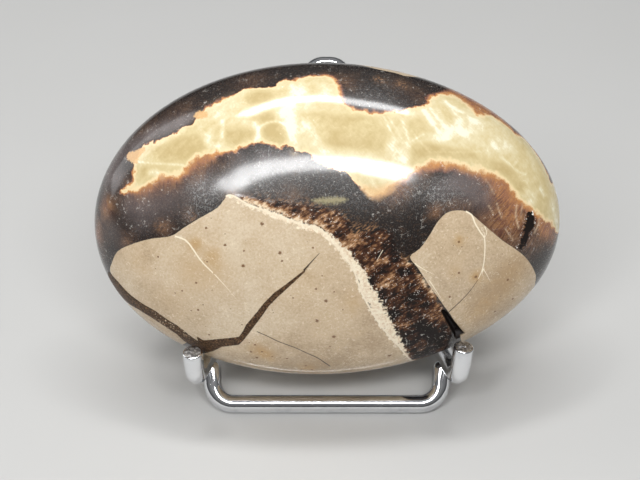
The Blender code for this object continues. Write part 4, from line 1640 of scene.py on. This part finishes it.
class SEPTARIAN_OT_stage(bpy.types.Operator):
    """Lays a plain pale floor and sets up soft lights and the camera"""

    bl_idname = "septarian.stage"
    bl_label = "Make the stage"

    def execute(self, context):
        settings = context.scene.septarian_stage
        self.lay_floor(settings)
        self.hang_lights(settings)
        self.colour_surroundings(context, settings)
        self.set_camera(context)
        return {"FINISHED"}

    def lay_floor(self, settings):
        """A wide floor under the stand."""
        shape = bmesh.new()
        bmesh.ops.create_grid(shape, x_segments=1, y_segments=1, size=FLOOR_REACH)
        floor = object_from("floor", shape)
        floor.data.materials.append(floor_material(settings))

    def hang_lights(self, settings):
        """Two long bent strips, whose mirror images run across the stone, and one soft side light."""
        middle = Vector(STONE_MIDDLE * MM)
        for name, (directions, width) in STRIPS.items():
            points = [Vector(d).normalized() * STRIP_DISTANCE + middle for d in directions]
            for k, (start, end) in enumerate(zip(points, points[1:])):
                self.hang_light(f"{name}_{k}", start, end, width, settings.strip_power)
        near, far = (Vector(d).normalized() * SIDE_DISTANCE + middle for d in SIDE_LIGHT)
        self.hang_light("side_light", near, far, SIDE_WIDTH, settings.side_power)

    def hang_light(self, name, start, end, width, power):
        """A flat light that faces the stone, with its length from start to end."""
        light = bpy.data.lights.new(name, "AREA")
        light.shape = "RECTANGLE"
        light.size = (end - start).length
        light.size_y = width
        light.energy = power * light.size * light.size_y
        middle = (start + end) / 2
        back = (middle - Vector(STONE_MIDDLE * MM)).normalized()
        up = back.cross((end - start).normalized()).normalized()
        set_pose(new_object(name, light), middle, up.cross(back), up, back)

    def colour_surroundings(self, context, settings):
        """Pale surroundings, which grow brighter from eye level upwards."""
        world = bpy.data.worlds.new("pale_surroundings")
        world.use_nodes = True
        graph = Graph(world.node_tree)
        direction = graph.node("ShaderNodeTexCoord").outputs["Generated"]
        height = graph.node("ShaderNodeSeparateXYZ", {}, {0: direction}).outputs["Z"]
        colour = graph.ramp(height, [(0.0, settings.horizon), (ZENITH_PLACE, settings.zenith)])
        background = graph.node("ShaderNodeBackground", {}, {"Color": colour, "Strength": settings.sky})
        graph.node("ShaderNodeOutputWorld", {}, {"Surface": background.outputs[0]})
        context.scene.world = world

    def set_camera(self, context):
        """The camera that stood over the stone when the photograph was taken."""
        right, up, forward, place = camera_axes()
        camera = bpy.data.cameras.new("camera")
        camera.sensor_width = SENSOR_WIDTH
        camera.lens = SENSOR_WIDTH * FOCAL_PIXELS / PICTURE_WIDTH
        camera.clip_start = CLIP_START
        item = new_object("camera", camera)
        set_pose(item, Vector(place * MM), Vector(right), Vector(up), Vector(-forward))
        context.scene.camera = item
        context.scene.view_settings.view_transform = "Standard"


class SEPTARIAN_PT_panel(bpy.types.Panel):
    """Lists the settings and the operators"""

    bl_idname = "SEPTARIAN_PT_panel"
    bl_label = "Septarian nodule"
    bl_space_type = "VIEW_3D"
    bl_region_type = "UI"
    bl_category = "Septarian"

    def draw(self, context):
        for name, _, operator in SECTIONS:
            box = self.layout.box()
            box.operator(operator)
            settings = getattr(context.scene, name)
            for item in settings.bl_rna.properties.keys():
                if item not in {"rna_type", "name"}:
                    box.prop(settings, item)


# each group of settings: its name on the scene, its class, and the operator that uses it
SECTIONS = [
    ("septarian_stone", StoneSettings, "septarian.stone"),
    ("septarian_stand", StandSettings, "septarian.stand"),
    ("septarian_stage", StageSettings, "septarian.stage"),
]
CLASSES = [
    StoneSettings,
    StandSettings,
    StageSettings,
    SEPTARIAN_OT_stone,
    SEPTARIAN_OT_stand,
    SEPTARIAN_OT_stage,
    SEPTARIAN_PT_panel,
]


def register():
    for item in CLASSES:
        bpy.utils.register_class(item)
    for name, group, _ in SECTIONS:
        setattr(bpy.types.Scene, name, bpy.props.PointerProperty(type=group))


def unregister():
    for name, _, _ in SECTIONS:
        delattr(bpy.types.Scene, name)
    for item in reversed(CLASSES):
        bpy.utils.unregister_class(item)


def main():
    """Makes every piece and the stage."""
    register()
    bpy.ops.septarian.stone()
    bpy.ops.septarian.stand()
    bpy.ops.septarian.stage()


if __name__ == "__main__":
    main()
